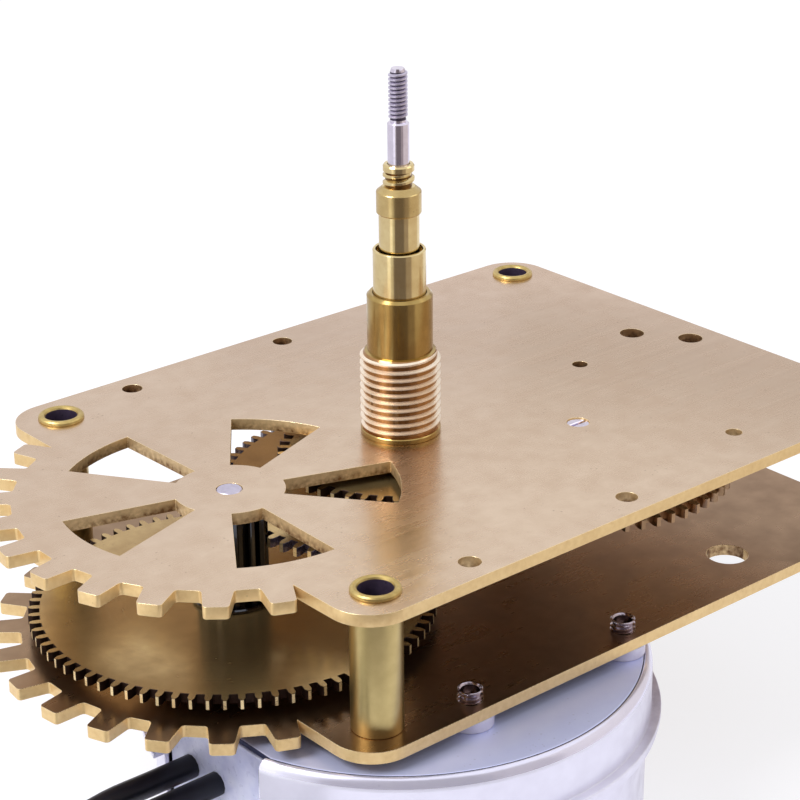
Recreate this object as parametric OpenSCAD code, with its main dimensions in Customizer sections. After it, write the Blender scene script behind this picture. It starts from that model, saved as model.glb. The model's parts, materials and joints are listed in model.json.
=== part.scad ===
// Electric clock movement: two brass plates on four pillars, a gear train between
// them, a seconds arbor inside a minute pipe inside an hour pipe, and a round
// synchronous motor hung below on its own two studs. The origin is on the axis of
// the hands at the top face of the top plate; +Z runs up the hands, +X runs from
// the toothed lobe to the plain end.

/* [Plates] */
// Length of the straight part of both plates, along X
plate_l = 89.4; // [86:0.1:96]
// Width of both plates, along Y
plate_w = 72.2; // [71:0.1:78]
// Thickness of each plate
plate_t = 1.5; // [1.2:0.1:2]
// Clear gap between the two plates
plate_gap = 15.5; // [15:0.1:18]
// Radius of the plate corners
plate_corner_r = 5.3; // [3:0.1:7]
// Distance from the axis of the hands to the plain end
bush_to_end = 53.7; // [50:0.1:56]
// Offset of the plate's mid line from the axis of the hands, along Y
mid_offset = 0.4; // [-1:0.1:1]

/* [Toothed lobe] */
// Teeth that a full turn of the lobe's rim would have
lobe_pitches = 25; // [23:1:27]
// Radius over the tips of the lobe's teeth
lobe_tip_r = 29.3; // [28.5:0.1:29.8]
// Radius at the bottom of the notches
lobe_root_r = 25.6; // [25:0.1:26.4]
// Width of a tooth at its tip
lobe_tip_w = 2.85; // [2.2:0.05:3.2]
// Width of the flat at the bottom of a notch
lobe_gap_w = 2.85; // [2.2:0.05:3.2]
// Rounding of the tooth's corners
lobe_round = 0.5; // [0.2:0.05:0.8]

/* [Windows in the lobe] */
// Number of windows
window_count = 5; // [4:1:6]
// Inner radius of the windows
window_in_r = 6.7; // [6:0.1:8]
// Outer radius of the windows
window_out_r = 20.4; // [17:0.1:21.5]
// Angle that each window covers
window_arc = 33; // [26:0.5:40]

/* [Plate holes] */
// Diameter of the four pilot holes near the long edges
pilot_d = 2.65; // [2:0.05:3.2]
// Pitch of the pilot holes along X
pilot_pitch_x = 24.8; // [22:0.1:28]
// Pitch of the pilot holes along Y
pilot_pitch_y = 65.4; // [64.8:0.1:66]
// Distance from the axis of the hands to the middle of the pilot holes, along X
pilot_mid_x = -5.3; // [-7:0.1:-4]
// Diameter of the two jig holes
jig_d = 2.1; // [1.6:0.1:2.6]
// Place of the jig hole near the front edge
jig_front = [30.3, -28.2]; // [-40:0.1:40]
// Place of the jig hole near the mid line
jig_mid = [31.6, 0.2]; // [-40:0.1:40]
// Diameter of the pair of holes near the plain end
end_hole_d = 3.3; // [2.8:0.1:4]
// Place of the first hole of the pair
end_hole_a = [44.8, 3.4]; // [-50:0.1:50]
// Place of the second hole of the pair
end_hole_b = [49.4, -3.2]; // [-50:0.1:50]
// Diameter of the sight hole in the bottom plate, below the front jig hole
sight_d = 5.3; // [4.5:0.1:6]

/* [Pillars] */
// Diameter of a pillar's body
pillar_d = 6; // [5.6:0.1:6.4]
// Distance from the front, back and plain end edges to a pillar's axis
pillar_margin = 5.2; // [4.6:0.1:5.6]
// Distance from the lobe's end of the plates to a pillar's axis
pillar_lobe_margin = 5.9; // [5:0.1:6.5]
// Bore through a pillar
pillar_bore = 4; // [3.4:0.1:4.2]
// Diameter of a pillar's shank in the plates
shank_d = 5; // [4.8:0.1:5.2]
// Diameter of the rolled rim
rim_d = 5.8; // [5.5:0.1:6.2]
// Height of the rolled rim
rim_h = 0.6; // [0.4:0.05:0.8]

/* [Bush] */
// Diameter over the bush's thread
bush_d = 10; // [9.6:0.1:10.5]
// Pitch of the bush's thread
bush_pitch = 1; // [0.75:0.25:1.25]
// Height of the plain collar below the thread
bush_collar_h = 0.8; // [0.6:0.1:2]
// Height of the top of the thread
bush_thread_top = 11.1; // [9:0.1:13]
// Diameter of the plain nose above the thread
nose_d = 8.1; // [7.6:0.1:8.5]
// Height of the top of the nose
nose_top = 18.4; // [16:0.1:20]
// Diameter of the bush's shank in the plate
bush_shank_d = 8.4; // [8:0.1:8.8]
// Thickness of the rim riveted over below the plate
bush_rivet_h = 0.6; // [0.4:0.05:0.7]

/* [Hand shafts] */
// Radial running clearance of one shaft in another
running = 0.05; // [0.03:0.01:0.08]
// Diameter of the hour pipe
hour_d = 6.5; // [6.3:0.05:6.8]
// Height of the top of the hour pipe
hour_top = 24; // [21:0.1:26]
// Diameter of the counterbore in the hour pipe's mouth
hour_mouth_d = 5.75; // [5.4:0.05:5.95]
// Depth of that counterbore
hour_mouth_h = 1.5; // [0.8:0.1:3]
// Diameter of the minute pipe
minute_d = 4.95; // [4.6:0.05:5.05]
// Height of the bottom of the minute pipe's collar
collar_z = 28.5; // [26.5:0.1:29]
// Diameter of the minute pipe's collar
collar_d = 5.5; // [5.2:0.05:6]
// Height of the minute pipe's collar
collar_h = 3; // [2:0.1:4]
// Diameter over the minute pipe's thread
minute_thread_d = 3.85; // [3.6:0.05:4]
// Pitch of the minute pipe's thread
minute_pitch = 0.9; // [0.7:0.1:1]
// Turns of the minute pipe's thread
minute_turns = 3; // [2:1:4]
// Diameter of the seconds arbor
seconds_d = 2.63; // [2.4:0.01:2.7]
// Height of the top of the plain part of the seconds arbor
seconds_plain_top = 39.8; // [38:0.1:42]
// Diameter over the seconds arbor's thread
seconds_thread_d = 2.3; // [2.1:0.05:2.3]
// Pitch of the seconds arbor's thread
seconds_pitch = 0.5; // [0.4:0.05:0.6]
// Turns of the seconds arbor's thread
seconds_turns = 12; // [8:1:14]

/* [Gear train] */
// Module of the seconds pinion and the transfer wheel
module_first = 0.6; // [0.59:0.005:0.61]
// Teeth of the seconds pinion
teeth_seconds_pinion = 8; // [8:1:8]
// Teeth of the transfer wheel
teeth_transfer_wheel = 80; // [80:1:80]
// Teeth of the transfer pinion
teeth_transfer_pinion = 12; // [12:1:12]
// Teeth of the centre wheel
teeth_centre_wheel = 72; // [72:1:72]
// Teeth of the cannon pinion
teeth_cannon_pinion = 10; // [10:1:10]
// Teeth of the minute wheel
teeth_minute_wheel = 60; // [60:1:60]
// Teeth of the motion pinion
teeth_motion_pinion = 24; // [24:1:24]
// Teeth of the hour wheel
teeth_hour_wheel = 48; // [48:1:48]
// Distance from the axis of the hands to the motion work's stud
stud_distance = 22.33; // [22:0.01:22.6]
// Direction of the stud seen from the axis of the hands
stud_direction = -36.1; // [-45:0.5:-30]
// Thinning of each tooth at its pitch line, for backlash
backlash = 0.07; // [0.05:0.01:0.1]
// Thickness of the wheels
wheel_t = 1.2; // [1:0.05:1.3]
// Depth of the hour wheel's top below the top plate's top face
hour_wheel_depth = 2.5; // [2.4:0.05:2.8]
// Axial gap between wheels that pass each other
wheel_pass = 0.9; // [0.8:0.05:1]
// Clearance of the transfer wheel above the bottom plate
transfer_lift = 1.5; // [1.4:0.1:2.2]
// Diameter of the transfer arbor
transfer_d = 3.1; // [2.8:0.05:3.4]
// Diameter of the motion work's stud
stud_d = 2.9; // [2.6:0.05:3.2]

/* [Motor] */
// Outside diameter of the motor's shell
motor_d = 61; // [60:0.2:62]
// Height of the motor, from its front face to its base
motor_h = 26; // [24:0.5:30]
// Depth of the motor's front face below the bottom plate
motor_drop = 1.5; // [1.2:0.1:2]
// Centre of the motor, seen from the front corner of the plates at the lobe's end
motor_centre = [23.3, 21.7]; // [18:0.1:28]
// Diameter of the front face's disc
face_d = 58.8; // [58:0.1:59.2]
// Thickness of the face's disc
face_t = 0.8; // [0.6:0.1:1]
// Thickness of the shell's and the can's wall
shell_t = 0.6; // [0.5:0.05:0.8]
// Depth of the flange's top below the face
flange_depth = 6.8; // [6:0.1:8]
// Outside diameter of the flange
flange_d = 63.4; // [62.8:0.1:64]
// Thickness of one layer of the flange
flange_t = 0.8; // [0.6:0.05:1]
// Outside diameter of the rear can
can_d = 60; // [59:0.2:61]
// Diameter of the output spindle
spindle_d = 1.9; // [1.8:0.05:2]
// Depth of the spindle's bearing below the face
bearing_deep = 6; // [5:0.1:7]
// Length of the spindle below its bearing
spindle_deep = 2; // [1.5:0.1:2.5]
// Height of the gear case under the face
core_h = 13.7; // [13:0.1:16]
// Width of the gap between the winding and the can
coil_gap = 1.5; // [1:0.1:2]

/* [Motor studs] */
// Thread diameter of the studs that hold the motor
motor_stud_d = 3; // [2.8:0.1:3.2]
// Place of the stud on the lobe's side, seen from the motor's centre
motor_stud_a = [-5.8, -19]; // [-24:0.1:24]
// Place of the stud on the plain end's side, seen from the motor's centre
motor_stud_b = [18.8, -19]; // [-24:0.1:24]
// Depth of the studs below the motor's face
motor_stud_deep = 4.5; // [3.5:0.1:5.5]
// Height of the studs above the bottom plate
motor_stud_proud = 1.5; // [1:0.1:2.5]
// Outside diameter of the nylon spacing washers
washer_d = 5.6; // [5:0.1:6.4]

/* [Terminals and leads] */
// Width of the terminal block
block_w = 18.8; // [18:0.1:20]
// Height of the terminal block
block_h = 13; // [11:0.5:14]
// Depth of the terminal block into the motor
block_deep = 4; // [3.5:0.1:4.5]
// Distance from the motor's centre to the terminal block's outer face
block_reach = 27.6; // [27.4:0.1:27.9]
// Clearance round the terminal block
block_gap = 0.15; // [0.1:0.05:0.2]
// Clearance between the terminal block and the gear case
block_back = 0.3; // [0.2:0.05:0.5]
// Depth of the leads' exits below the motor's face
lead_drop = 8.2; // [7:0.1:9]
// Distance of the leads' exits from the motor's middle, along Y
lead_exit_y = [5.2, 0.2]; // [-6:0.1:6]
// Place of the coil's centre, seen from the first lead's exit
coil_place = [-38, -17.5]; // [-60:0.5:60]
// Diameter of a lead over its insulation
lead_d = 2.9; // [2.7:0.05:2.9]
// Outer radius of a lead's centre line in the coil
coil_r = 17.5; // [16.5:0.1:18]
// Turns that each lead makes in the coil
coil_turns = 2.2; // [1.8:0.1:2.4]

/* [Hidden] */
$fn = 96;
eps = 0.01;      // overlap of cutting shapes past the face they cut
play = 0.3;      // end play of a moving piece beside a fixed one
round_fn = 5;    // steps of a rounded corner in an outline

// Plates
end_x = bush_to_end;
lobe_end_x = bush_to_end - plate_l;
mid_y = mid_offset;
under_top = -plate_t;
bottom_top = -plate_t - plate_gap;
bottom_under = bottom_top - plate_t;

// Axes of the train
transfer_distance = module_first * (teeth_seconds_pinion + teeth_transfer_wheel) / 2;
transfer_xy = [-sqrt(transfer_distance ^ 2 - mid_y ^ 2), mid_y];
stud_xy = stud_distance * [cos(stud_direction), sin(stud_direction)];
module_second = 2 * transfer_distance / (teeth_transfer_pinion + teeth_centre_wheel);
module_cannon = 2 * stud_distance / (teeth_cannon_pinion + teeth_minute_wheel);
module_hour = 2 * stud_distance / (teeth_motion_pinion + teeth_hour_wheel);

// Levels of the wheels, each the height of a wheel's top face
hour_wheel_z = -hour_wheel_depth;
minute_wheel_z = hour_wheel_z - wheel_t - wheel_pass;
centre_wheel_z = minute_wheel_z - wheel_t - wheel_pass + 0.2;
transfer_wheel_z = bottom_top + transfer_lift + wheel_t;

// Radii of the shafts and what runs on them
seconds_r = seconds_d / 2;
minute_bore_r = seconds_r + running;
minute_foot_r = minute_bore_r + 0.4;
hour_bore_r = minute_d / 2 + running;
bush_bore_r = hour_d / 2 + running;
stud_bore_r = stud_d / 2 + running;
pivot_hole_r = transfer_d / 2 + running;
spindle_bore_r = spindle_d / 2 + running;

// The minute pipe's foot, from the cannon pinion down to the clutch
foot_top = minute_wheel_z + 0.1;
clutch_flange_h = 0.4;
clutch_flange_r = 3.2;
spring_h = 1;
spring_r = 6;
collet_h = 0.9;
collet_r = 3;
foot_bottom = centre_wheel_z - wheel_t - spring_h - collet_h;
minute_thread_z = collar_z + collar_h + 0.4;
minute_top = minute_thread_z + minute_turns * minute_pitch + 0.1;
seconds_thread_z = seconds_plain_top + 0.3;
seconds_top = seconds_thread_z + seconds_turns * seconds_pitch + 0.2;

// Coupling of the spindle and the seconds arbor
joint_z = bottom_top + 0.3;
coupling_r = 2.6;
coupling_bottom = bottom_top - 0.7;
coupling_top = transfer_wheel_z - wheel_t - 0.4;
pinion_top = transfer_wheel_z + 0.4;

// Motor
face_z = bottom_under - motor_drop;
base_z = face_z - motor_h;
flange_z = face_z - flange_depth;
seam_z = flange_z - flange_t;
face_gap = 0.05;
shoulder_h = 1.5;
motor_xy = [lobe_end_x, mid_y - plate_w / 2] + motor_centre;
stud_places = [motor_xy + motor_stud_a, motor_xy + motor_stud_b];
block_face_x = motor_xy.x - block_reach;
block_top = face_z - face_t - block_gap;
bearing_r = 4;
bearing_top = bottom_top - 1;
bearing_shank_r = 3;
bearing_bottom = face_z - bearing_deep;
spindle_bottom = bearing_bottom - spindle_deep;
core_r = block_reach - block_deep - block_back;
core_bottom = face_z - face_t - core_h;
stud_bottom = face_z - motor_stud_deep;

// Leads: each route runs from its exit, out and down by shares of the way to the coil
lead_r = lead_d / 2;
lead_z = face_z - lead_drop;
exit_a = [block_face_x, motor_xy.y + lead_exit_y[0], lead_z];
exit_b = [block_face_x, motor_xy.y + lead_exit_y[1], lead_z];
lead_out = [0, 0.158, 0.316, 0.447, 0.566, 0.671, 0.776, 0.882, 1];
fall_a = [0, 0, 0, 0.063, 0.24, 0.492, 0.744, 0.934, 1];
fall_b = [0, 0, 0, 0.046, 0.201, 0.417, 0.664, 0.896, 1];
side_b = [0, 0, 0, 0.04, 0.18, 0.4, 0.68, 0.92, 1];
tie_t = 0.5;
coil_xy = [exit_a.x, exit_a.y] + coil_place;
coil_pitch = lead_d + 0.05;
coil_out = coil_r + lead_r;
coil_in = coil_r - coil_pitch * coil_turns - lead_r;
coil_z = base_z + tie_t;
coil_h = 2 * lead_d;
route_a = [for (i = [0 : 8])
    exit_a + [coil_place.x * lead_out[i], 0, (coil_z + lead_r - lead_z) * fall_a[i]]];
route_b = [for (i = [0 : 8])
    exit_b + [coil_place.x * lead_out[i], (exit_a.y - exit_b.y) * side_b[i],
        (coil_z + 3 * lead_r - lead_z) * fall_b[i]]];
tip_d = 1.2;
tip_l = 6;

// A unit vector along v
function unit(v) = v / norm(v);

// An outline's corner p between its neighbours a and b, as an arc of radius r
function corner(a, p, b, r) =
    let (
        u = unit(a - p),
        v = unit(b - p),
        half = acos(u * v) / 2,
        c = p + unit(u + v) * r / sin(half),
        s = p + u * r / tan(half) - c,
        e = p + v * r / tan(half) - c,
        from = atan2(s.y, s.x),
        turn = atan2(s.x * e.y - s.y * e.x, s * e)
    )
    [for (i = [0 : round_fn]) c + r * [cos(from + turn * i / round_fn), sin(from + turn * i / round_fn)]];

// A closed outline with every corner rounded
function rounded(points, r) =
    let (n = len(points))
    [for (i = [0 : n - 1]) each corner(points[(i + n - 1) % n], points[i], points[(i + 1) % n], r)];

// A point at radius r in direction a
function polar(r, a) = r * [cos(a), sin(a)];

// Outline of the lobe's full toothed rim, about its own centre
function lobe_outline() =
    let (
        pitch = 360 / lobe_pitches,
        tip = asin(lobe_tip_w / 2 / lobe_tip_r),
        gap = asin(lobe_gap_w / 2 / lobe_root_r)
    )
    [for (i = [0 : lobe_pitches - 1], q = [[lobe_root_r, gap], [lobe_tip_r, pitch / 2 - tip],
        [lobe_tip_r, pitch / 2 + tip], [lobe_root_r, pitch - gap]]) polar(q[0], 180 + i * pitch + q[1])];

// How far a cycloidal flank has leaned in at roll f of a circle of radius b on one of radius r
function lean(r, b, f) = f * b / r - atan2(b * sin(f), r + b - b * cos(f));

// The roll at which that flank is h above the pitch circle
function roll(r, b, h) = acos(((r + b) ^ 2 + b ^ 2 - (r + h) ^ 2) / (2 * (r + b) * b));

// Outline of a cycloidal gear of n teeth whose mate has mate teeth, one tooth's middle at angle 0
function gear_outline(m, n, mate) =
    let (
        r = m * n / 2,
        b = m * mate / 4,
        half = 90 / n - backlash / 2 / r * 180 / PI,
        full = roll(r, b, m),
        flank = [[r - 1.25 * m, half], [r, half], for (k = [1, 2])
            [norm([r + b - b * cos(full * k / 2), b * sin(full * k / 2)]), half - lean(r, b, full * k / 2)]]
    )
    [for (i = [0 : n - 1]) each concat(
        [for (k = [0 : 3]) polar(flank[k][0], 360 * i / n - flank[k][1])],
        [for (k = [3 : -1 : 0]) polar(flank[k][0], 360 * i / n + flank[k][1])])];

// Turn of a gear of n2 teeth that meshes with one of n1 teeth turned by a1, in direction d from it
function mesh_turn(n1, a1, n2, d) = d + 180 - (180 - n1 * (d - a1)) / n2;

// Profile points of a thread: flats at the crest, from height z up, at outer radius r, share of its pitch deep
function thread(r, pitch, turns, z, share = 0.6) =
    let (deep = share * pitch, flat = pitch / 8)
    [for (i = [0 : turns - 1], q = [[0, 0], [deep, pitch / 2 - flat], [deep, pitch / 2], [0, pitch - flat]])
        [r - q[0], z + i * pitch + q[1]]];

// The rings of a tube of eight sides along a route
function rings(route) =
    let (n = len(route) - 1)
    [for (i = [0 : n])
        let (
            ahead = unit(route[min(i + 1, n)] - route[max(i - 1, 0)]),
            along = i == 0 ? [-1, 0, 0] : i == n ? [-1, 0, 0] : ahead,
            side = unit(cross(along, [0, 1, 0])),
            up = cross(side, along)
        )
        for (k = [0 : 7]) route[i] + lead_r * (cos(45 * k) * side + sin(45 * k) * up)];

module tube_along(route) {
    n = len(route) - 1;
    polyhedron(
        points = rings(route),
        faces = [
            [for (k = [7 : -1 : 0]) k],
            [for (k = [0 : 7]) 8 * n + k],
            for (i = [0 : n - 1], k = [0 : 7]) [8 * i + k, 8 * i + (k + 1) % 8, 8 * i + 8 + k],
            for (i = [0 : n - 1], k = [0 : 7]) [8 * i + (k + 1) % 8, 8 * i + 8 + (k + 1) % 8, 8 * i + 8 + k]
        ]
    );
}

// A cylinder of radius r from height z0 to z1
module rod(r, z0, z1) {
    translate([0, 0, z0]) cylinder(r = r, h = z1 - z0);
}

// A gear with its top face at height z
module gear(m, n, mate, turn, z, t, bore_r) {
    difference() {
        translate([0, 0, z - t]) rotate(turn) linear_extrude(t) polygon(gear_outline(m, n, mate));
        rod(bore_r, z - t - eps, z + eps);
    }
}

// Outline that both plates share, with the lobe's windows and the holes for the pillars
module plate_shape() {
    difference() {
        union() {
            translate([lobe_end_x + plate_corner_r, mid_y - plate_w / 2])
                square([plate_l - 2 * plate_corner_r, plate_w]);
            translate([lobe_end_x, mid_y - plate_w / 2 + plate_corner_r])
                square([plate_l, plate_w - 2 * plate_corner_r]);
            for (x = [lobe_end_x + plate_corner_r, end_x - plate_corner_r], s = [-1, 1])
                translate([x, mid_y + s * (plate_w / 2 - plate_corner_r)]) circle(r = plate_corner_r);
            translate(transfer_xy) polygon(rounded(lobe_outline(), lobe_round));
        }
        translate(transfer_xy) for (i = [0 : window_count - 1]) rotate(180 + 360 * i / window_count) window();
        for (p = pillar_places) translate(p) circle(d = shank_d);
        translate(transfer_xy) circle(r = pivot_hole_r);
    }
}

// One window of the lobe, along +X from the lobe's centre
module window() {
    wide = 2 * window_out_r;
    intersection() {
        difference() {
            circle(r = window_out_r);
            circle(r = window_in_r);
        }
        polygon([[0, 0], polar(wide, -window_arc / 2), polar(wide, window_arc / 2)]);
    }
}

pillar_places = [for (x = [lobe_end_x + pillar_lobe_margin, end_x - pillar_margin], s = [-1, 1])
    [x, mid_y + s * (plate_w / 2 - pillar_margin)]];

module top_plate() {
    color("tan")
    translate([0, 0, -plate_t]) linear_extrude(plate_t) difference() {
        plate_shape();
        circle(d = bush_shank_d);
        translate(stud_xy) circle(d = stud_d);
        for (x = [-1, 1], y = [-1, 1])
            translate([pilot_mid_x + x * pilot_pitch_x / 2, mid_y + y * pilot_pitch_y / 2]) circle(d = pilot_d);
        for (p = [jig_front, jig_mid]) translate(p) circle(d = jig_d);
        for (p = [end_hole_a, end_hole_b]) translate(p) circle(d = end_hole_d);
    }
}

module bottom_plate() {
    color("peru")
    translate([0, 0, bottom_under]) linear_extrude(plate_t) difference() {
        plate_shape();
        circle(r = bearing_r + 0.1);
        translate(jig_front) circle(d = sight_d);
        for (p = stud_places) translate(p) circle(d = motor_stud_d);
    }
}

// A tubular pillar whose shanks go through both plates and are rolled over outside them
module pillar(place) {
    roll_r = (rim_d - pillar_bore) / 4;
    rim = [for (a = [0 : 30 : 180]) [pillar_bore / 2 + roll_r + roll_r * cos(a), rim_h - roll_r + roll_r * sin(a)]];
    low = [for (i = [len(rim) - 1 : -1 : 0]) [rim[i].x, bottom_under - rim[i].y]];
    translate(place) rotate_extrude() polygon(concat(
        [[shank_d / 2, 0], [rim_d / 2, 0]], rim, low,
        [[rim_d / 2, bottom_under], [shank_d / 2, bottom_under], [shank_d / 2, bottom_top],
            [pillar_d / 2, bottom_top], [pillar_d / 2, under_top], [shank_d / 2, under_top]]));
}

module pillar_front_lobe() { color("darkkhaki") pillar(pillar_places[0]); }
module pillar_back_lobe() { color("darkkhaki") pillar(pillar_places[1]); }
module pillar_front_end() { color("darkkhaki") pillar(pillar_places[2]); }
module pillar_back_end() { color("darkkhaki") pillar(pillar_places[3]); }

// Threaded bush riveted into the top plate, bearing of the hour pipe
module centre_bush() {
    turns = floor((bush_thread_top - bush_collar_h) / bush_pitch);
    soften = 0.35;
    color("goldenrod")
    rotate_extrude() polygon(concat(
        [[bush_bore_r, under_top - bush_rivet_h], [bush_shank_d / 2 + 0.5, under_top - bush_rivet_h],
            [bush_shank_d / 2 + 0.5, under_top], [bush_shank_d / 2, under_top], [bush_shank_d / 2, 0],
            [bush_d / 2, 0]],
        thread(bush_d / 2, bush_pitch, turns, bush_collar_h),
        [[bush_d / 2, bush_collar_h + turns * bush_pitch], [nose_d / 2, bush_thread_top],
            [nose_d / 2, nose_top - soften], [nose_d / 2 - soften, nose_top], [bush_bore_r, nose_top]]));
}

// Steel stud that carries the motion work, pressed into the top plate
module motion_stud() {
    sunk = 0.15;
    slot_w = 0.5;
    slot_h = 0.5;
    color("slategray")
    translate(stud_xy) difference() {
        union() {
            rod(stud_d / 2, stud_foot_z, -sunk);
            rod(stud_d / 2 + 1.1, hour_wheel_z + play, under_top);
        }
        translate([-stud_d, -slot_w / 2, -sunk - slot_h]) cube([2 * stud_d, slot_w, slot_h + eps]);
    }
}

// Level of the stud's foot, kept above the centre wheel
stud_foot_z = centre_wheel_z + play;
clip_t = 0.25;

module stud_clip() {
    color("silver")
    translate(stud_xy) difference() {
        rod(stud_d / 2 + 1, stud_foot_z, stud_foot_z + clip_t);
        rod(stud_d / 2, stud_foot_z - eps, stud_foot_z + clip_t + eps);
    }
}

// Cut in the motor's shell, flange and can round the terminal block
module block_notch() {
    wide = block_w + 2 * block_gap;
    low = block_top - block_h - block_gap;
    translate([block_face_x - motor_d, motor_xy.y - wide / 2, low])
        cube([motor_d + block_deep + block_gap, wide, face_z - low + 1]);
}

// Disc that closes the front of the motor, with a flat over the terminal block
module motor_face() {
    color("lightsteelblue")
    difference() {
        translate(motor_xy) rod(face_d / 2, face_z - face_t, face_z);
        rod(bearing_shank_r, face_z - face_t - eps, face_z + eps);
        for (p = stud_places)
            translate(p) rod(motor_stud_d / 2, face_z - face_t - eps, face_z + eps);
        translate([block_face_x - face_d, motor_xy.y - face_d / 2, face_z - face_t - eps])
            cube([face_d, face_d, face_t + 2 * eps]);
    }
}

module motor_shell() {
    mouth_r = face_d / 2 + face_gap;
    out_r = motor_d / 2;
    lip_r = mouth_r - 0.8;
    wall_r = out_r - shell_t;
    shoulder = [for (a = [75 : -15 : 0]) [mouth_r + (out_r - mouth_r) * cos(a), face_z + shoulder_h * (sin(a) - 1)]];
    color("gainsboro")
    difference() {
        translate(motor_xy) union() {
            rotate_extrude() polygon(concat([[mouth_r, face_z]], shoulder,
                [[out_r, seam_z], [wall_r, seam_z], [wall_r, face_z - face_t - shell_t],
                    [lip_r, face_z - face_t - shell_t], [lip_r, face_z - face_t], [mouth_r, face_z - face_t]]));
            ring(wall_r, out_r, flange_d / 2, seam_z);
        }
        block_notch();
    }
}

// Flange at the foot or mouth of a wall from wall_r to out_r, turned out or in to radius flange_r
module ring(wall_r, out_r, flange_r, z) {
    difference() {
        rod(max(out_r, flange_r), z, z + flange_t);
        rod(min(wall_r, flange_r), z - eps, z + flange_t + eps);
    }
}

module motor_rear_can() {
    out_r = can_d / 2;
    wall_r = out_r - shell_t;
    flange_step = 0.2;
    base_r = 1.5;
    foot = [for (a = [0 : -15 : -90]) [out_r - base_r + base_r * cos(a), base_z + base_r + base_r * sin(a)]];
    color("silver")
    difference() {
        translate(motor_xy) union() {
            rotate_extrude() polygon(concat([[wall_r, seam_z], [out_r, seam_z]], foot,
                [[0, base_z], [0, base_z + shell_t], [out_r - base_r, base_z + shell_t],
                    [wall_r, base_z + base_r]]));
            ring(wall_r, out_r, flange_d / 2 - flange_step, seam_z - flange_t);
        }
        block_notch();
    }
}

// Gear case and stator of the motor, one closed drum under the face
module motor_core() {
    color("dimgray")
    difference() {
        translate(motor_xy) rod(core_r, core_bottom, face_z - face_t);
        rod(bearing_shank_r, bearing_bottom, face_z);
        rod(spindle_d / 2 + play, spindle_bottom - play, bearing_bottom + eps);
        translate(stud_places[0]) rod(motor_stud_d / 2, stud_bottom, face_z);
    }
}

module motor_coil() {
    coil_hole_r = 8;
    color("brown")
    translate(motor_xy) difference() {
        rod(can_d / 2 - shell_t - coil_gap, base_z + shell_t, core_bottom);
        rod(coil_hole_r, base_z, core_bottom + eps);
    }
}

// Bearing of the output spindle; its boss stands in the bottom plate's hole
module motor_bearing() {
    color("goldenrod")
    difference() {
        union() {
            rod(bearing_r, face_z, bearing_top);
            rod(bearing_shank_r, bearing_bottom, face_z);
        }
        rod(spindle_bore_r, bearing_bottom - eps, bearing_top + eps);
    }
}

// Threaded studs from the motor's face up through the bottom plate, with cup points
module motor_studs() {
    stud_pitch = 0.5;
    turns = round(motor_stud_proud / stud_pitch) - 1;
    top = bottom_top + motor_stud_proud;
    r = motor_stud_d / 2;
    color("silver")
    for (p = stud_places) translate(p) rotate_extrude() polygon(concat(
        [[0, stud_bottom], [r, stud_bottom]], thread(r, stud_pitch, turns, bottom_top + 0.2),
        [[r, bottom_top + 0.2 + turns * stud_pitch], [r - 0.35, top], [r - 0.6, top], [0, top - 0.6]]));
}

module nylon_washers() {
    color("whitesmoke")
    for (p = stud_places) translate(p) difference() {
        rod(washer_d / 2, face_z, bottom_under);
        rod(motor_stud_d / 2 + 0.05, face_z - eps, bottom_under + eps);
    }
}

tab_w = 2.4;
tab_t = 0.5;

// Moulded insert in the motor's side that the leads come out of
module terminal_block() {
    color("lavender")
    difference() {
        translate([block_face_x, motor_xy.y - block_w / 2, block_top - block_h])
            cube([block_deep, block_w, block_h]);
        for (p = [exit_a, exit_b])
            translate([block_face_x + 1, p.y - tab_w / 2, lead_z - tab_t / 2]) cube([block_deep, tab_w, tab_t]);
    }
}

module terminal_tabs() {
    color("gold")
    for (p = [exit_a, exit_b])
        translate([block_face_x + 1, p.y - tab_w / 2, lead_z - tab_t / 2]) cube([block_deep - 1, tab_w, tab_t]);
}

module lead_a() { color("black") tube_along(route_a); }
module lead_b() { color("black") tube_along(route_b); }

// The wound-up length of both leads, one closed ring
module lead_coil() {
    color("black")
    translate([coil_xy.x, coil_xy.y, coil_z]) rotate_extrude() translate([coil_in, 0]) square([coil_out - coil_in, coil_h]);
}

// Tie round the coil's bundle of turns
module lead_tie() {
    tie_angle = 14;
    color("white")
    translate([coil_xy.x, coil_xy.y, coil_z]) rotate(250) rotate_extrude(angle = tie_angle) difference() {
        translate([coil_in - tie_t, -tie_t]) square([coil_out - coil_in + 2 * tie_t, coil_h + 2 * tie_t]);
        translate([coil_in, 0]) square([coil_out - coil_in, coil_h]);
    }
}

// Tinned ends of the leads, inside the coil
module lead_tips() {
    color("silver")
    for (k = [0, 1]) translate([coil_xy.x, coil_xy.y, coil_z + lead_r + k * lead_d])
        rotate(167 - 12 * k) translate([coil_in + 0.3, 0, 0]) rotate(125) rotate([0, 90, 0]) cylinder(d = tip_d, h = tip_l);
}

module motor_spindle() {
    color("slategray") rod(spindle_d / 2, spindle_bottom, joint_z);
}

// Sleeve that joins the spindle to the seconds arbor
module spindle_coupling() {
    color("darkgoldenrod")
    difference() {
        rod(coupling_r, coupling_bottom, coupling_top);
        rod(spindle_d / 2, coupling_bottom - eps, joint_z);
        rod(seconds_r, joint_z, coupling_top + eps);
    }
}

module seconds_pinion() {
    color("dimgray")
    gear(module_first, teeth_seconds_pinion, teeth_transfer_wheel, 0, pinion_top, pinion_top - coupling_top, seconds_r);
}

// Collar on the seconds arbor that carries the minute pipe
module seconds_collar() {
    color("goldenrod")
    difference() {
        rod(minute_foot_r + 0.5, foot_bottom - play - 0.6, foot_bottom - play);
        rod(seconds_r, foot_bottom - play - 1, foot_bottom);
    }
}

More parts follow.
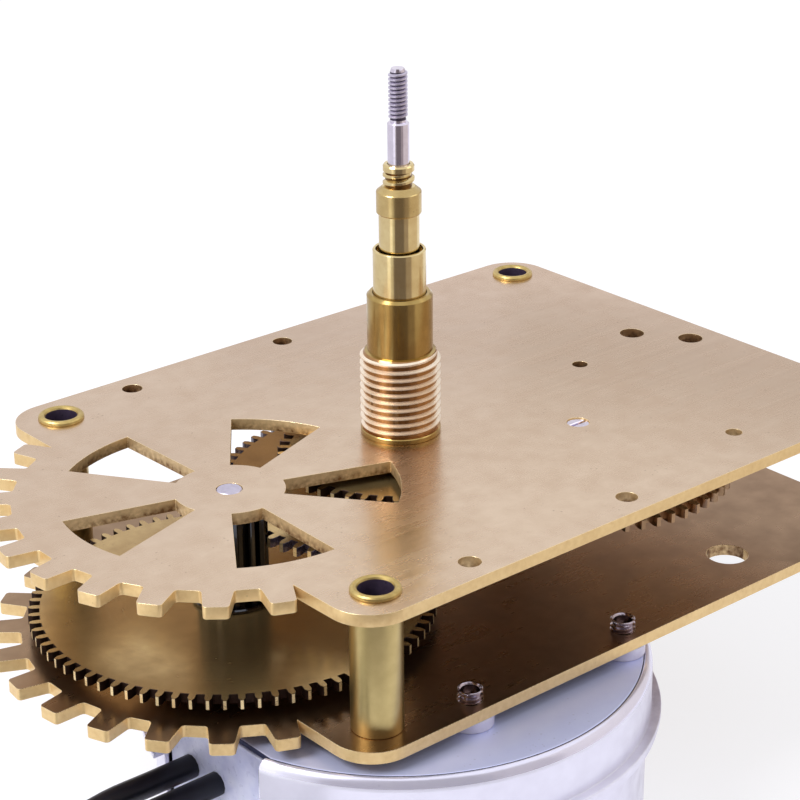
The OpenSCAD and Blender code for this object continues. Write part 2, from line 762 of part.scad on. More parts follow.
module seconds_arbor() {
    neck_r = seconds_thread_d / 2 - 0.2;
    tip_r = seconds_thread_d / 2 - 0.4;
    color("silver")
    rotate_extrude() polygon(concat(
        [[0, joint_z], [seconds_r, joint_z], [seconds_r, seconds_plain_top - 0.1],
            [seconds_r - 0.1, seconds_plain_top], [neck_r, seconds_plain_top], [neck_r, seconds_thread_z]],
        thread(seconds_thread_d / 2, seconds_pitch, seconds_turns, seconds_thread_z, 0.4),
        [[seconds_thread_d / 2, seconds_top - 0.2], [tip_r, seconds_top], [0, seconds_top]]));
}

hub_rim_t = 0.6;
pinion_foot = transfer_wheel_z + hub_rim_t;
shoulder_z = hour_wheel_z + play;

module transfer_arbor() {
    color("silver")
    translate(transfer_xy) union() {
        rod(transfer_d / 2, bottom_under, 0);
        rod(transfer_d / 2 + 0.9, shoulder_z, under_top - play);
    }
}

// Steel hub that the transfer wheel is riveted on, with a flange below it and a riveted rim above
module transfer_hub() {
    hub_r = 5;
    color("dimgray")
    translate(transfer_xy) difference() {
        union() {
            rod(transfer_hub_r, bottom_top + play, pinion_foot);
            rod(hub_r, transfer_wheel_z - wheel_t - 1.2, transfer_wheel_z - wheel_t);
            rod(hub_r, transfer_wheel_z, pinion_foot);
        }
        rod(transfer_d / 2, bottom_top, pinion_foot + eps);
    }
}

transfer_hub_r = 3.2;
transfer_turn = mesh_turn(teeth_seconds_pinion, 0, teeth_transfer_wheel, atan2(transfer_xy.y, transfer_xy.x));
centre_turn = mesh_turn(teeth_transfer_pinion, 0, teeth_centre_wheel, atan2(-transfer_xy.y, -transfer_xy.x));
minute_turn = mesh_turn(teeth_cannon_pinion, 0, teeth_minute_wheel, stud_direction);
hour_turn = mesh_turn(teeth_motion_pinion, 0, teeth_hour_wheel, stud_direction + 180);

module transfer_wheel() {
    color("burlywood")
    translate(transfer_xy) gear(module_first, teeth_transfer_wheel, teeth_seconds_pinion, transfer_turn,
        transfer_wheel_z, wheel_t, transfer_hub_r);
}

module transfer_pinion() {
    color("dimgray")
    translate(transfer_xy) gear(module_second, teeth_transfer_pinion, teeth_centre_wheel, 0,
        shoulder_z, shoulder_z - pinion_foot, transfer_d / 2);
}

module minute_pipe() {
    soften = 0.3;
    thread_r = minute_thread_d / 2;
    color("goldenrod")
    rotate_extrude() polygon(concat(
        [[minute_bore_r, foot_bottom], [minute_foot_r, foot_bottom], [minute_foot_r, foot_top],
            [minute_d / 2, foot_top], [minute_d / 2, collar_z], [collar_d / 2 - soften / 2, collar_z],
            [collar_d / 2, collar_z + soften / 2], [collar_d / 2, collar_z + collar_h - soften],
            [thread_r, minute_thread_z]],
        thread(thread_r, minute_pitch, minute_turns, minute_thread_z, 0.35),
        [[thread_r, minute_top - 0.1], [thread_r - 0.1, minute_top], [minute_bore_r, minute_top]]));
}

module cannon_pinion() {
    tooth_foot = centre_wheel_z + clutch_flange_h;
    color("darkgoldenrod")
    union() {
        gear(module_cannon, teeth_cannon_pinion, teeth_minute_wheel, 0, foot_top, foot_top - tooth_foot, minute_foot_r);
        difference() {
            rod(clutch_flange_r, centre_wheel_z, tooth_foot);
            rod(minute_foot_r, centre_wheel_z - eps, tooth_foot + eps);
        }
    }
}

module centre_wheel() {
    color("burlywood")
    gear(module_second, teeth_centre_wheel, teeth_transfer_pinion, centre_turn, centre_wheel_z, wheel_t, minute_foot_r);
}

// Dished friction spring with three arms, under the centre wheel
module clutch_spring() {
    leaf_t = 0.3;
    top = centre_wheel_z - wheel_t;
    arm_w = 2;
    color("darkkhaki")
    difference() {
        union() {
            rotate_extrude() polygon([[minute_foot_r, top - spring_h], [collet_r, top - spring_h],
                [spring_r, top - leaf_t], [spring_r, top], [spring_r - 0.8, top], [collet_r, top - spring_h + leaf_t],
                [minute_foot_r, top - spring_h + leaf_t]]);
        }
        for (i = [0 : 2]) rotate(120 * i) translate([collet_r + 0.6, -arm_w / 2, top - spring_h - eps])
            cube([spring_r - collet_r - 1.6, arm_w, spring_h + 2 * eps]);
    }
}

module clutch_collet() {
    color("goldenrod")
    difference() {
        rod(collet_r, foot_bottom, foot_bottom + collet_h);
        rod(minute_foot_r, foot_bottom - eps, foot_bottom + collet_h + eps);
    }
}

motion_neck_r = 3;

// Motion pinion, with the neck that carries the minute wheel
module motion_pinion() {
    tooth_foot = hour_wheel_z - wheel_t - 0.1;
    color("darkgoldenrod")
    translate(stud_xy) union() {
        gear(module_hour, teeth_motion_pinion, teeth_hour_wheel, 0, hour_wheel_z, hour_wheel_z - tooth_foot, stud_bore_r);
        difference() {
            rod(motion_neck_r, minute_wheel_z - wheel_t, tooth_foot);
            rod(stud_bore_r, minute_wheel_z - wheel_t - eps, tooth_foot + eps);
        }
    }
}

module minute_wheel() {
    color("burlywood")
    translate(stud_xy) gear(module_cannon, teeth_minute_wheel, teeth_cannon_pinion, minute_turn,
        minute_wheel_z, wheel_t, motion_neck_r);
}

// Hour pipe, with a groove level with the bush's top below the hand's seat
module hour_pipe() {
    soften = 0.1;
    low = hour_wheel_z - wheel_t - 0.5;
    groove_h = 1;
    groove_r = hour_d / 2 - 0.2;
    color("goldenrod")
    rotate_extrude() polygon([[hour_bore_r, low], [hour_d / 2, low], [hour_d / 2, nose_top - groove_h],
        [groove_r, nose_top - groove_h], [groove_r, nose_top], [hour_d / 2, nose_top],
        [hour_d / 2, hour_top - soften], [hour_d / 2 - soften, hour_top], [hour_mouth_d / 2, hour_top], [hour_mouth_d / 2, hour_top - hour_mouth_h],
        [hour_bore_r, hour_top - hour_mouth_h]]);
}

module hour_wheel() {
    color("burlywood")
    gear(module_hour, teeth_hour_wheel, teeth_motion_pinion, hour_turn, hour_wheel_z, wheel_t, hour_d / 2);
}

top_plate();
bottom_plate();
pillar_front_lobe();
pillar_back_lobe();
pillar_front_end();
pillar_back_end();
centre_bush();
motion_stud();
stud_clip();
motor_face();
motor_shell();
motor_rear_can();
motor_core();
motor_coil();
motor_bearing();
motor_studs();
nylon_washers();
terminal_block();
terminal_tabs();
lead_a();
lead_b();
lead_coil();
lead_tie();
lead_tips();
motor_spindle();
spindle_coupling();
seconds_pinion();
seconds_collar();
seconds_arbor();
transfer_arbor();
transfer_hub();
transfer_wheel();
transfer_pinion();
minute_pipe();
cannon_pinion();
centre_wheel();
clutch_spring();
clutch_collet();
motion_pinion();
minute_wheel();
hour_pipe();
hour_wheel();
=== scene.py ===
# %% [markdown]
# Dressing an electric clock movement.
# The solids of this movement were made in a CAD program: two brass plates held apart by four
# pillars, the wheels between them, three shafts one inside the other for the hands, and a
# synchronous motor hung below. This lesson loads them and gives every piece the shape
# details and the finish that brass, steel, zinc and nylon have on such a movement.

# %% Load the frame
import json
import math

import bmesh
import bpy
from mathutils import Matrix, Vector


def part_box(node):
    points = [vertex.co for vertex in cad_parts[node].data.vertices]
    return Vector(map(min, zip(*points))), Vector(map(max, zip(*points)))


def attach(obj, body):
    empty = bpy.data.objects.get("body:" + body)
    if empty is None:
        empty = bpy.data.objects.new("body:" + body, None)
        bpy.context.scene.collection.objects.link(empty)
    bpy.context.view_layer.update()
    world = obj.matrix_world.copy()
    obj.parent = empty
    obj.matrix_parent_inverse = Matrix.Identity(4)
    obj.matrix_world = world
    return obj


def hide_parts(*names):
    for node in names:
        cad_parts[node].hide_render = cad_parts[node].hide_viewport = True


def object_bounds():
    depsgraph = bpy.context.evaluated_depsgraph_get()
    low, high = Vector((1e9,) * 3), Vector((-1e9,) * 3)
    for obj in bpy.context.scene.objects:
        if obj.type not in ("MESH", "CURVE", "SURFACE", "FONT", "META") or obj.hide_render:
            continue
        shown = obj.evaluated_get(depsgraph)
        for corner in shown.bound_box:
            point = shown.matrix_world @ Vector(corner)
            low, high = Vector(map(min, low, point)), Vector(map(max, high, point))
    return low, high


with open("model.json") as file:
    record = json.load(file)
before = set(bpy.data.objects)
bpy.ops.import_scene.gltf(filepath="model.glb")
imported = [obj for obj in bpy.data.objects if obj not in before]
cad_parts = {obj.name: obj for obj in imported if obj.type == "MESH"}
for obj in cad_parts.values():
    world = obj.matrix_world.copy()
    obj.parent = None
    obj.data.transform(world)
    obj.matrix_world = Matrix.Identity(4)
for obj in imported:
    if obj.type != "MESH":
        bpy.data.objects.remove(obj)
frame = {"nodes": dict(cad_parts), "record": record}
cad_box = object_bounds()
nodes = frame["nodes"]
body_of = {node: body for body, names in frame["record"]["behaviour"]["bodies"].items() for node in names}

# %% [markdown]
# The camera comes first, because the cords have to be judged through it.
# Its place was found from points that show in the picture and are known on the movement:
# the corners of the plate, the pillars and the tops of the shafts. It stands in front of
# the toothed end, 23 degrees above the plate, with a long lens, as a product picture does.

# %% Camera
FOCAL_LENGTH = 104.31  # millimetres
SENSOR = 36  # millimetres
SIDE_SHIFT = -0.0015  # share of the picture's width
EYE = (-0.17153, -0.20103, 0.11821)  # metres
azimuth, elevation, roll = (math.radians(a) for a in (-40.49, 23.38, -0.489))
looking = Vector((-math.sin(azimuth) * math.cos(elevation), math.cos(azimuth) * math.cos(elevation),
                  -math.sin(elevation)))
level = looking.cross(Vector((0, 0, 1))).normalized()
upward = level.cross(looking)
across = math.cos(roll) * level + math.sin(roll) * upward
tall = math.cos(roll) * upward - math.sin(roll) * level
lens = bpy.data.cameras.new("camera")
lens.lens, lens.sensor_width, lens.shift_x, lens.clip_start = FOCAL_LENGTH, SENSOR, SIDE_SHIFT, 0.01
camera = bpy.data.objects.new("camera", lens)
facing = Matrix((across, tall, -looking)).transposed().to_4x4()
camera.matrix_world = Matrix.Translation(EYE) @ facing
bpy.context.collection.objects.link(camera)
bpy.context.scene.camera = camera
print("camera looks along", [round(v, 3) for v in looking])

# %% [markdown]
# A finished piece is a mesh whose place is in its own points, so that it can be exchanged
# with the CAD node it stands for. All shapes below are made in millimetres, as on a
# drawing, and shrunk to metres once, when the piece is put into the scene. An edge is smooth
# unless its faces meet at more than 20 degrees, or a broad face ends there in a narrow
# rounding, whose curved shading would otherwise run far into the flat. The same call says
# which body the piece moves with and which node it replaces.

# %% Put a piece into the scene
SHARP = math.radians(20)
BROAD = 5e-6  # square metres
NARROW = 8  # a rounding beside a broad face is at least so many times smaller


def looks_smooth(edge, area):
    if len(edge.link_faces) != 2:
        return True
    small, large = sorted(area[face] for face in edge.link_faces)
    broad_ends = large > BROAD and large > NARROW * small
    return edge.calc_face_angle(0) < SHARP and not broad_ends


def place(bm, name, stands_for, materials):
    """Puts a shape made in millimetres into the scene, in place of CAD nodes."""
    bmesh.ops.scale(bm, vec=(0.001, 0.001, 0.001), verts=bm.verts)
    for face in bm.faces:
        face.smooth = True
    area = {face: face.calc_area() for face in bm.faces}
    for edge in bm.edges:
        edge.smooth = looks_smooth(edge, area)
    mesh = bpy.data.meshes.new(name)
    bm.to_mesh(mesh)
    bm.free()
    for material in materials:
        mesh.materials.append(material)
    piece = bpy.data.objects.new(name, mesh)
    bpy.context.collection.objects.link(piece)
    return adopt(piece, stands_for)


def adopt(piece, stands_for):
    """Says which body a piece moves with and which nodes it replaces."""
    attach(piece, body_of[stands_for[0]])
    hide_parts(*stands_for)
    return piece


# %% [markdown]
# A drawing gives heights from one face. Here that is the dial side of the top plate, at 0.
# The heights where a piece has to end are read from the solids in the frame, so they can't
# drift apart from the CAD model.

# %% Heights
def levels(node):
    """The lowest and highest level of a CAD node, in millimetres."""
    return [round(1000 * corner[2], 3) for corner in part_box(node)]


UNDER = levels("top_plate")[0]  # underside of the top plate
FOOT, LOWER = levels("bottom_plate")  # its underside and its upper face
NOSE_TOP = levels("centre_bush")[1]
HOUR_LOW, HOUR_TOP = levels("hour_pipe")
MINUTE_LOW, MINUTE_TOP = levels("minute_pipe")
ARBOR_LOW, ARBOR_TOP = levels("seconds_arbor")
STUD_LOW = levels("motor_studs")[0]
TABLE = levels("lead_tie")[0]
print("plates at", UNDER, LOWER, FOOT, "shafts end at", NOSE_TOP, HOUR_TOP, MINUTE_TOP, ARBOR_TOP)

# %% [markdown]
# The motor's two leads are free cords. Each is 250 mm of stranded wire in black insulation,
# 2.9 mm thick. A curve with a round bevel is the plain way to model one: its points are the
# route, and the tube follows them. The leads leave the terminal block side by side, sink
# to the table under their own weight and are wound into one flat coil out of the picture.

# %% Routes of the leads
LEAD = 2.9
COIL = Vector((-78, -26.3, 0))
OUTER_TURN, LAY = 17.5, 2.95  # radius of the coil's first turn, and how far the next lies inside it
LAYERS = {"lead_a": -44.05, "lead_b": -41.15}
ENDS = {"lead_a": 167, "lead_b": 155}  # compass angles
route_a = [(-40, -8.8, -28.2), (-46, -8.8, -28.2), (-52, -8.8, -28.2), (-57, -8.8, -29.2),
           (-61.5, -8.8, -32), (-65.5, -8.8, -36), (-69.5, -8.8, -40), (-73.5, -8.8, -43)]
route_b = [(-40, -13.8, -28.2), (-46, -13.8, -28.2), (-52, -13.8, -28.2), (-57, -13.6, -28.8),
           (-61.5, -12.9, -30.8), (-65.5, -11.8, -33.6), (-69.5, -10.4, -36.8), (-73.5, -9.2, -39.8)]


def wound(height, last):
    """Points of a flat spiral from the end of the route to two turns after the angle last."""
    points, steps = [], 46
    last += 2 * 360
    for i in range(steps + 1):
        turned = (last - 90) * i / steps
        radius = OUTER_TURN - LAY * turned / 360
        spot = Vector((math.cos(math.radians(90 + turned)), math.sin(math.radians(90 + turned)), 0))
        points.append(COIL + radius * spot + Vector((0, 0, height)))
    return points


def flowing(points, step=1.6):
    """The same route through the same points, as a smooth line of close points."""
    line = [Vector(p) for p in points]
    out = []
    for i in range(len(line) - 1):
        a, b = line[i], line[i + 1]
        before = line[i - 1] if i else 2 * a - b
        after = line[i + 2] if i + 2 < len(line) else 2 * b - a
        count = max(1, round((b - a).length / step))
        for k in range(count):
            t = k / count
            out.append(0.5 * (2 * a + (b - before) * t + (2 * before - 5 * a + 4 * b - after) * t ** 2
                              + (3 * a - before - 3 * b + after) * t ** 3))
    return out + [line[-1]]


lines = {name: flowing(route + wound(LAYERS[name], ENDS[name]))
         for name, route in (("lead_a", route_a), ("lead_b", route_b))}
for name, line in lines.items():
    print(name, "is", round(sum((b - a).length for a, b in zip(line, line[1:])), 1), "mm long")

# %% [markdown]
# Materials read the Object coordinates of a piece, so a pattern stays on it whatever
# happens to the camera. A small helper adds a node, sets its sockets and links whatever
# comes from another node, which keeps the material cells short.

# %% Helper for nodes
def add(tree, kind, sockets=None, **settings):
    """A new node. Values are set on its sockets, and other nodes' sockets are linked to them."""
    node = tree.nodes.new(kind)
    for key, value in settings.items():
        setattr(node, key, value)
    for key, value in (sockets or {}).items():
        if isinstance(value, bpy.types.NodeSocket):
            tree.links.new(value, node.inputs[key])
        else:
            node.inputs[key].default_value = value
    return node


def new_group(name, inputs, outputs):
    """An empty node group, the sockets that it reads and the sockets that it fills."""
    tree = bpy.data.node_groups.new(name, "ShaderNodeTree")
    kinds = {"v": "NodeSocketVector", "f": "NodeSocketFloat", "c": "NodeSocketColor"}
    for label, kind, value in inputs:
        socket = tree.interface.new_socket(label, in_out="INPUT", socket_type=kinds[kind])
        if value is not None:
            socket.default_value = value
    for label, kind in outputs:
        tree.interface.new_socket(label, in_out="OUTPUT", socket_type=kinds[kind])
    return tree, tree.nodes.new("NodeGroupInput").outputs, tree.nodes.new("NodeGroupOutput").inputs


# %% [markdown]
# Old brass and steel are never one colour. Lacquer, fingers and air leave soft clouds that
# are a little darker and redder than the metal. This effect is wanted on every metal, so it
# is a node group: two sizes of noise move a colour between a clean and a tarnished tint.

# %% Group: clouds of tarnish
clouds, had, gives = new_group("tarnish_clouds", [("Vector", "v", None), ("Size", "f", 60.0),
                                                  ("Amount", "f", 0.5), ("Clean", "c", (0.6, 0.5, 0.4, 1)),
                                                  ("Tarnished", "c", (0.4, 0.3, 0.2, 1))],
                               [("Color", "c"), ("Mask", "f")])
broad = add(clouds, "ShaderNodeTexNoise", {"Vector": had["Vector"], "Scale": had["Size"], "Detail": 5.0,
                                           "Roughness": 0.6})
fine_scale = add(clouds, "ShaderNodeMath", {0: had["Size"], 1: 7.0}, operation="MULTIPLY")
fine = add(clouds, "ShaderNodeTexNoise", {"Vector": had["Vector"], "Scale": fine_scale.outputs[0],
                                          "Detail": 3.0})
both = add(clouds, "ShaderNodeMath", {0: broad.outputs["Fac"], 1: fine.outputs["Fac"]}, operation="ADD")
spread = add(clouds, "ShaderNodeMapRange", {"Value": both.outputs[0], "From Min": 0.75, "From Max": 1.3})
masked = add(clouds, "ShaderNodeMath", {0: spread.outputs[0], 1: had["Amount"]}, operation="MULTIPLY")
tinted = add(clouds, "ShaderNodeMix", {"Factor": masked.outputs[0], "A": had["Clean"], "B": had["Tarnished"]},
             data_type="RGBA")
clouds.links.new(tinted.outputs["Result"], gives["Color"])
clouds.links.new(masked.outputs[0], gives["Mask"])
print("group", clouds.name)

# %% [markdown]
# Sheet brass keeps the fine straight lines of the rolling mill. They are noise that has been
# stretched along X: many thin lines across Y, each one long. The group gives them
# as a height for a bump and as a mask that changes the gloss.

# %% Group: rolling lines
rolled, had, gives = new_group("rolling_lines", [("Vector", "v", None), ("Lines", "f", 1500.0),
                                                 ("Stretch", "f", 0.03)], [("Height", "f"), ("Mask", "f")])
parts = add(rolled, "ShaderNodeSeparateXYZ", {"Vector": had["Vector"]})
drawn = add(rolled, "ShaderNodeMath", {0: parts.outputs["X"], 1: had["Stretch"]}, operation="MULTIPLY")
lined = add(rolled, "ShaderNodeCombineXYZ", {"X": drawn.outputs[0], "Y": parts.outputs["Y"],
                                             "Z": parts.outputs["Z"]})
lines_noise = add(rolled, "ShaderNodeTexNoise", {"Vector": lined.outputs[0], "Scale": had["Lines"],
                                                 "Detail": 4.0, "Roughness": 0.65})
contrast = add(rolled, "ShaderNodeMapRange", {"Value": lines_noise.outputs["Fac"], "From Min": 0.35,
                                              "From Max": 0.7})
rolled.links.new(lines_noise.outputs["Fac"], gives["Height"])
rolled.links.new(contrast.outputs[0], gives["Mask"])
print("group", rolled.name)

# %% [markdown]
# A piece that was turned on a lathe has rings round its axis. A Mapping node in the material
# brings that axis to the middle; the group then measures the distance from it and the
# height along it, and lets a noise change with these two only, so every line is a full ring.

# %% Group: turning rings
turned, had, gives = new_group("turning_rings", [("Vector", "v", None), ("Rings", "f", 2500.0)],
                               [("Height", "f"), ("Mask", "f")])
parts = add(turned, "ShaderNodeSeparateXYZ", {"Vector": had["Vector"]})
flat = add(turned, "ShaderNodeCombineXYZ", {"X": parts.outputs["X"], "Y": parts.outputs["Y"]})
away = add(turned, "ShaderNodeVectorMath", {0: flat.outputs[0]}, operation="LENGTH")
ringed = add(turned, "ShaderNodeCombineXYZ", {"X": away.outputs["Value"], "Y": parts.outputs["Z"]})
ring_noise = add(turned, "ShaderNodeTexNoise", {"Vector": ringed.outputs[0], "Scale": had["Rings"],
                                                "Detail": 3.0})
contrast = add(turned, "ShaderNodeMapRange", {"Value": ring_noise.outputs["Fac"], "From Min": 0.35,
                                              "From Max": 0.65})
turned.links.new(ring_noise.outputs["Fac"], gives["Height"])
turned.links.new(contrast.outputs[0], gives["Mask"])
print("group", turned.name)

# %% [markdown]
# Dust, tiny pits and dried oil show as small specks. Voronoi cells give points at random
# places; only the nearest part of a cell counts, and a second noise leaves most cells empty.

# %% Group: specks
specks, had, gives = new_group("specks", [("Vector", "v", None), ("Density", "f", 1100.0),
                                          ("Size", "f", 0.14)], [("Mask", "f")])
cells = add(specks, "ShaderNodeTexVoronoi", {"Vector": had["Vector"], "Scale": had["Density"]})
near = add(specks, "ShaderNodeMath", {0: cells.outputs["Distance"], 1: had["Size"]}, operation="LESS_THAN")
places = add(specks, "ShaderNodeTexNoise", {"Vector": had["Vector"], "Scale": 220.0, "Detail": 2.0})
chosen = add(specks, "ShaderNodeMath", {0: places.outputs["Fac"], 1: 0.6}, operation="GREATER_THAN")
spotted = add(specks, "ShaderNodeMath", {0: near.outputs[0], 1: chosen.outputs[0]}, operation="MULTIPLY")
specks.links.new(spotted.outputs[0], gives["Mask"])
print("groups", [g.name for g in bpy.data.node_groups])


# %% [markdown]
# All the metals share one build. The clouds feed Base Color; lines or rings change the
# roughness a little and stand up as a bump; specks are dark and dull. Where a piece gets
# painted shade towards one end, such as the foot of a wall or one side of the motor, the
# tarnish tint is pushed further along one axis, between two places in millimetres.
# What differs from brass to steel is only numbers, so one function takes them.

# %% Build a metal
# The next value sets the painted shade: the tarnish amount at its darkest end.
DARKEST_SHADE = 1.3  # amount of tarnish at the dark end of a wall
SCRATCH = 0.00002  # metres


def linear(shade):
    """One channel as seen on screen, 0 to 255, as the number that sockets take."""
    shade /= 255
    return shade / 12.92 if shade <= 0.04045 else ((shade + 0.055) / 1.055) ** 2.4


def colour(*rgb):
    """Three channels, 0 to 255, as the colour of a socket."""
    return (*(linear(shade) for shade in rgb), 1)


def tinted_material(name, clean, tarnished, size, amount):
    """A new material with clouds between two tints, and what the rest of it is built on."""
    material = bpy.data.materials.new(name)
    material.use_nodes = True
    tree = material.node_tree
    where = add(tree, "ShaderNodeTexCoord").outputs["Object"]
    tint = add(tree, "ShaderNodeGroup", node_tree=clouds)
    tint.inputs["Size"].default_value = size
    tint.inputs["Amount"].default_value = amount
    tint.inputs["Clean"].default_value = colour(*clean)
    tint.inputs["Tarnished"].default_value = colour(*tarnished)
    tree.links.new(where, tint.inputs["Vector"])
    return material, tree, tree.nodes["Principled BSDF"], where, tint


def metal(name, clean, tarnished, rough=0.3, amount=0.5, size=60.0, work="rings", fineness=2500.0, depth=0.15,
          axis=(0, 0, 0), speck=0.5, rough_change=0.12, metallic=1.0, coat=0.0, painted_shade=None):
    """Colours from 0 to 255. For painted shade: an axis and the places of most and least shade."""
    material, tree, shader, where, tint = tinted_material(name, clean, tarnished, size, amount)
    # Painted shade: the tarnish amount grows along the axis towards the shaded end.
    if painted_shade:
        along, full, none = painted_shade
        spot = add(tree, "ShaderNodeSeparateXYZ", {"Vector": where})
        more = add(tree, "ShaderNodeMapRange", {"Value": spot.outputs[along], "From Min": 0.001 * full,
                                                "From Max": 0.001 * none, "To Min": DARKEST_SHADE,
                                                "To Max": amount})
        tree.links.new(more.outputs[0], tint.inputs["Amount"])
    centred = add(tree, "ShaderNodeMapping", {"Vector": where, "Location": tuple(-0.001 * a for a in axis)})
    marks = add(tree, "ShaderNodeGroup", node_tree=rolled if work == "lines" else turned)
    marks.inputs[1].default_value = fineness
    tree.links.new(centred.outputs[0], marks.inputs["Vector"])
    dots = add(tree, "ShaderNodeGroup", node_tree=specks)
    tree.links.new(where, dots.inputs["Vector"])
    dotted = add(tree, "ShaderNodeMath", {0: dots.outputs["Mask"], 1: speck}, operation="MULTIPLY")
    dirt = (*(0.35 * c for c in colour(*tarnished)[:3]), 1)
    darker = add(tree, "ShaderNodeMix", {"Factor": dotted.outputs[0], "A": tint.outputs["Color"], "B": dirt},
                 data_type="RGBA")
    gloss = add(tree, "ShaderNodeMapRange", {"Value": marks.outputs["Mask"],
                                             "To Min": rough - rough_change / 2,
                                             "To Max": rough + rough_change / 2})
    dull = add(tree, "ShaderNodeMath", {0: tint.outputs["Mask"], 1: 0.12, 2: gloss.outputs[0]},
               operation="MULTIPLY_ADD")
    bump = add(tree, "ShaderNodeBump", {"Strength": depth, "Distance": SCRATCH,
                                        "Height": marks.outputs["Height"]})
    for key, value in (("Base Color", darker.outputs["Result"]), ("Roughness", dull.outputs[0]),
                       ("Normal", bump.outputs[0])):
        tree.links.new(value, shader.inputs[key])
    shader.inputs["Metallic"].default_value = metallic
    shader.inputs["Coat Weight"].default_value = coat
    return material


# %% [markdown]
# The plates are half-hard brass sheet, cut with a die and only brushed: a satin face with a
# pink cast. The cut edges are brighter and more yellow, and their rounded upper edges get a
# painted highlight. Faces that lie between the plates take a darker copy of the satin brass,
# which is painted shade. The walls of the windows, which the die tears, are brown, with
# painted shade towards their foot, and the small holes get painted shade inside. Pillars,
# shafts and bush are turned from free-cutting brass rod, which is more yellow. The wheels are
# thin stamped brass that has gone slightly dull; the gaps between their teeth get painted
# shade and the ends of the teeth a painted highlight. A thread gets painted shade in its root
# and a painted highlight along its crest, so each has a finish.

# %% Brass finishes
face_brass = metal("plate_face_brass", (220, 197, 174), (196, 168, 142), rough=0.24, amount=0.5, size=45,
                   work="lines", fineness=900, depth=0.12, speck=0.3, rough_change=0.06)
cut_brass = metal("plate_cut_edge", (236, 206, 150), (204, 168, 112), rough=0.36, amount=0.5, size=200,
                  fineness=6000, depth=0.15, speck=0.2, metallic=0.6)
# Painted highlight: the rounded upper edges are coloured lighter than the cut sides.
round_highlight_brass = metal("plate_rounded_edge_highlight", (246, 224, 180), (224, 194, 146), rough=0.26, amount=0.4, size=200,
                    fineness=6000, depth=0.1, speck=0.1, metallic=0.8)
# Window walls: brown, with painted shade that darkens them towards the foot of the wall.
torn_shaded_brass = metal("window_wall_shaded_brass", (220, 192, 146), (120, 86, 52), rough=0.4, amount=0.4, size=260,
                   fineness=3000, depth=0.3, metallic=0.65, painted_shade=("Z", -1.3, -0.4))
# Painted shade: the inside walls of small holes, darker still towards their foot.
hole_shade_brass = metal("hole_wall_shade_brass", (176, 142, 104), (92, 64, 42), rough=0.36, amount=0.3, size=300,
                   fineness=6000, depth=0.1, speck=0.0, metallic=0.8, painted_shade=("Z", -1.1, -0.2))
# Painted shade for the core between the ridges of the bush's thread.
core_shade_brass = metal("thread_core_brass", (182, 140, 94), (142, 102, 64), rough=0.12, amount=0.5, size=200,
                   fineness=8000, depth=0.04, speck=0.1, rough_change=0.04)
# Painted highlight for the ridge of the bush's thread.
crest_highlight_brass = metal("thread_crest_brass", (252, 238, 220), (230, 208, 180), rough=0.28, amount=0.5, size=300,
                    fineness=8000, depth=0.04, speck=0.0, metallic=0.75)
# Painted shade for the root of the minute pipe's thread.
root_shade_brass = metal("thread_root_brass", (116, 84, 44), (76, 50, 26), rough=0.25, amount=0.5, size=200,
                   fineness=8000, depth=0.04, speck=0.0)
# Painted shade: a darker copy of the satin brass for faces between the plates and for hidden teeth.
inner_shade_brass = metal("plate_inner_brass", (172, 142, 112), (120, 92, 66), rough=0.27, amount=0.5, size=45,
                    work="lines", fineness=900, depth=0.03, speck=0.1, rough_change=0.04)
rim_brass = metal("rolled_rim_brass", (206, 182, 118), (158, 132, 76), rough=0.34, amount=0.6, size=200,
                  fineness=6000, depth=0.1, speck=0.1, metallic=0.85)
bush_brass = metal("bush_brass", (228, 206, 172), (188, 158, 114), rough=0.16, amount=0.45, size=150,
                   fineness=8000, depth=0.04, speck=0.1, rough_change=0.05)
nose_brass = metal("nose_brass", (182, 155, 97), (144, 114, 62), rough=0.16, amount=0.5, size=110,
                   fineness=8000, depth=0.05, speck=0.2, rough_change=0.06)
shaft_brass = metal("shaft_brass", (224, 204, 154), (190, 160, 106), rough=0.12, amount=0.45, size=110,
                    fineness=8000, depth=0.04, speck=0.15, rough_change=0.05)
collar_brass = metal("collar_brass", (206, 182, 128), (170, 142, 90), rough=0.2, amount=0.5, size=110,
                     fineness=8000, depth=0.05, speck=0.2, rough_change=0.06)
# Painted shade in the gaps between teeth, and a painted highlight on the ends of the teeth.
gap_shade_brass = metal("tooth_gap_brass", (52, 32, 23), (28, 17, 12), rough=0.4, amount=0.8, size=300,
                  fineness=6000, depth=0.1, metallic=0.7)
tip_highlight_brass = metal("tooth_tip_brass", (238, 216, 168), (206, 176, 122), rough=0.3, amount=0.4, size=300,
                  fineness=6000, depth=0.1, speck=0.0, metallic=0.6)


def wheel_metal(name, axis=(0, 0, 0)):
    return metal(name, (214, 184, 128), (164, 128, 78), rough=0.2, amount=0.5, size=60, fineness=3000,
                 depth=0.03, axis=axis, speck=0.2, metallic=0.85, rough_change=0.05)


wheel_brass = wheel_metal("wheel_brass")
print("brasses", [m.name for m in bpy.data.materials if "brass" in m.name])

# %% [markdown]
# Steel is grey with a faint violet cast from the light. The arbors are ground and bright;
# the pinions are hobbed and dark with oil. The motor's face is zinc plated sheet with a
# blue cast, and its drawn shell is brighter. The studs that hold the motor are chromed.

# %% Steel, zinc and chrome finishes
MOTOR = (-12.4, -14, 0)
arbor_steel = metal("arbor_steel", (224, 217, 234), (178, 170, 188), rough=0.13, amount=0.35, size=110,
                    fineness=8000, depth=0.04, speck=0.1, rough_change=0.05)
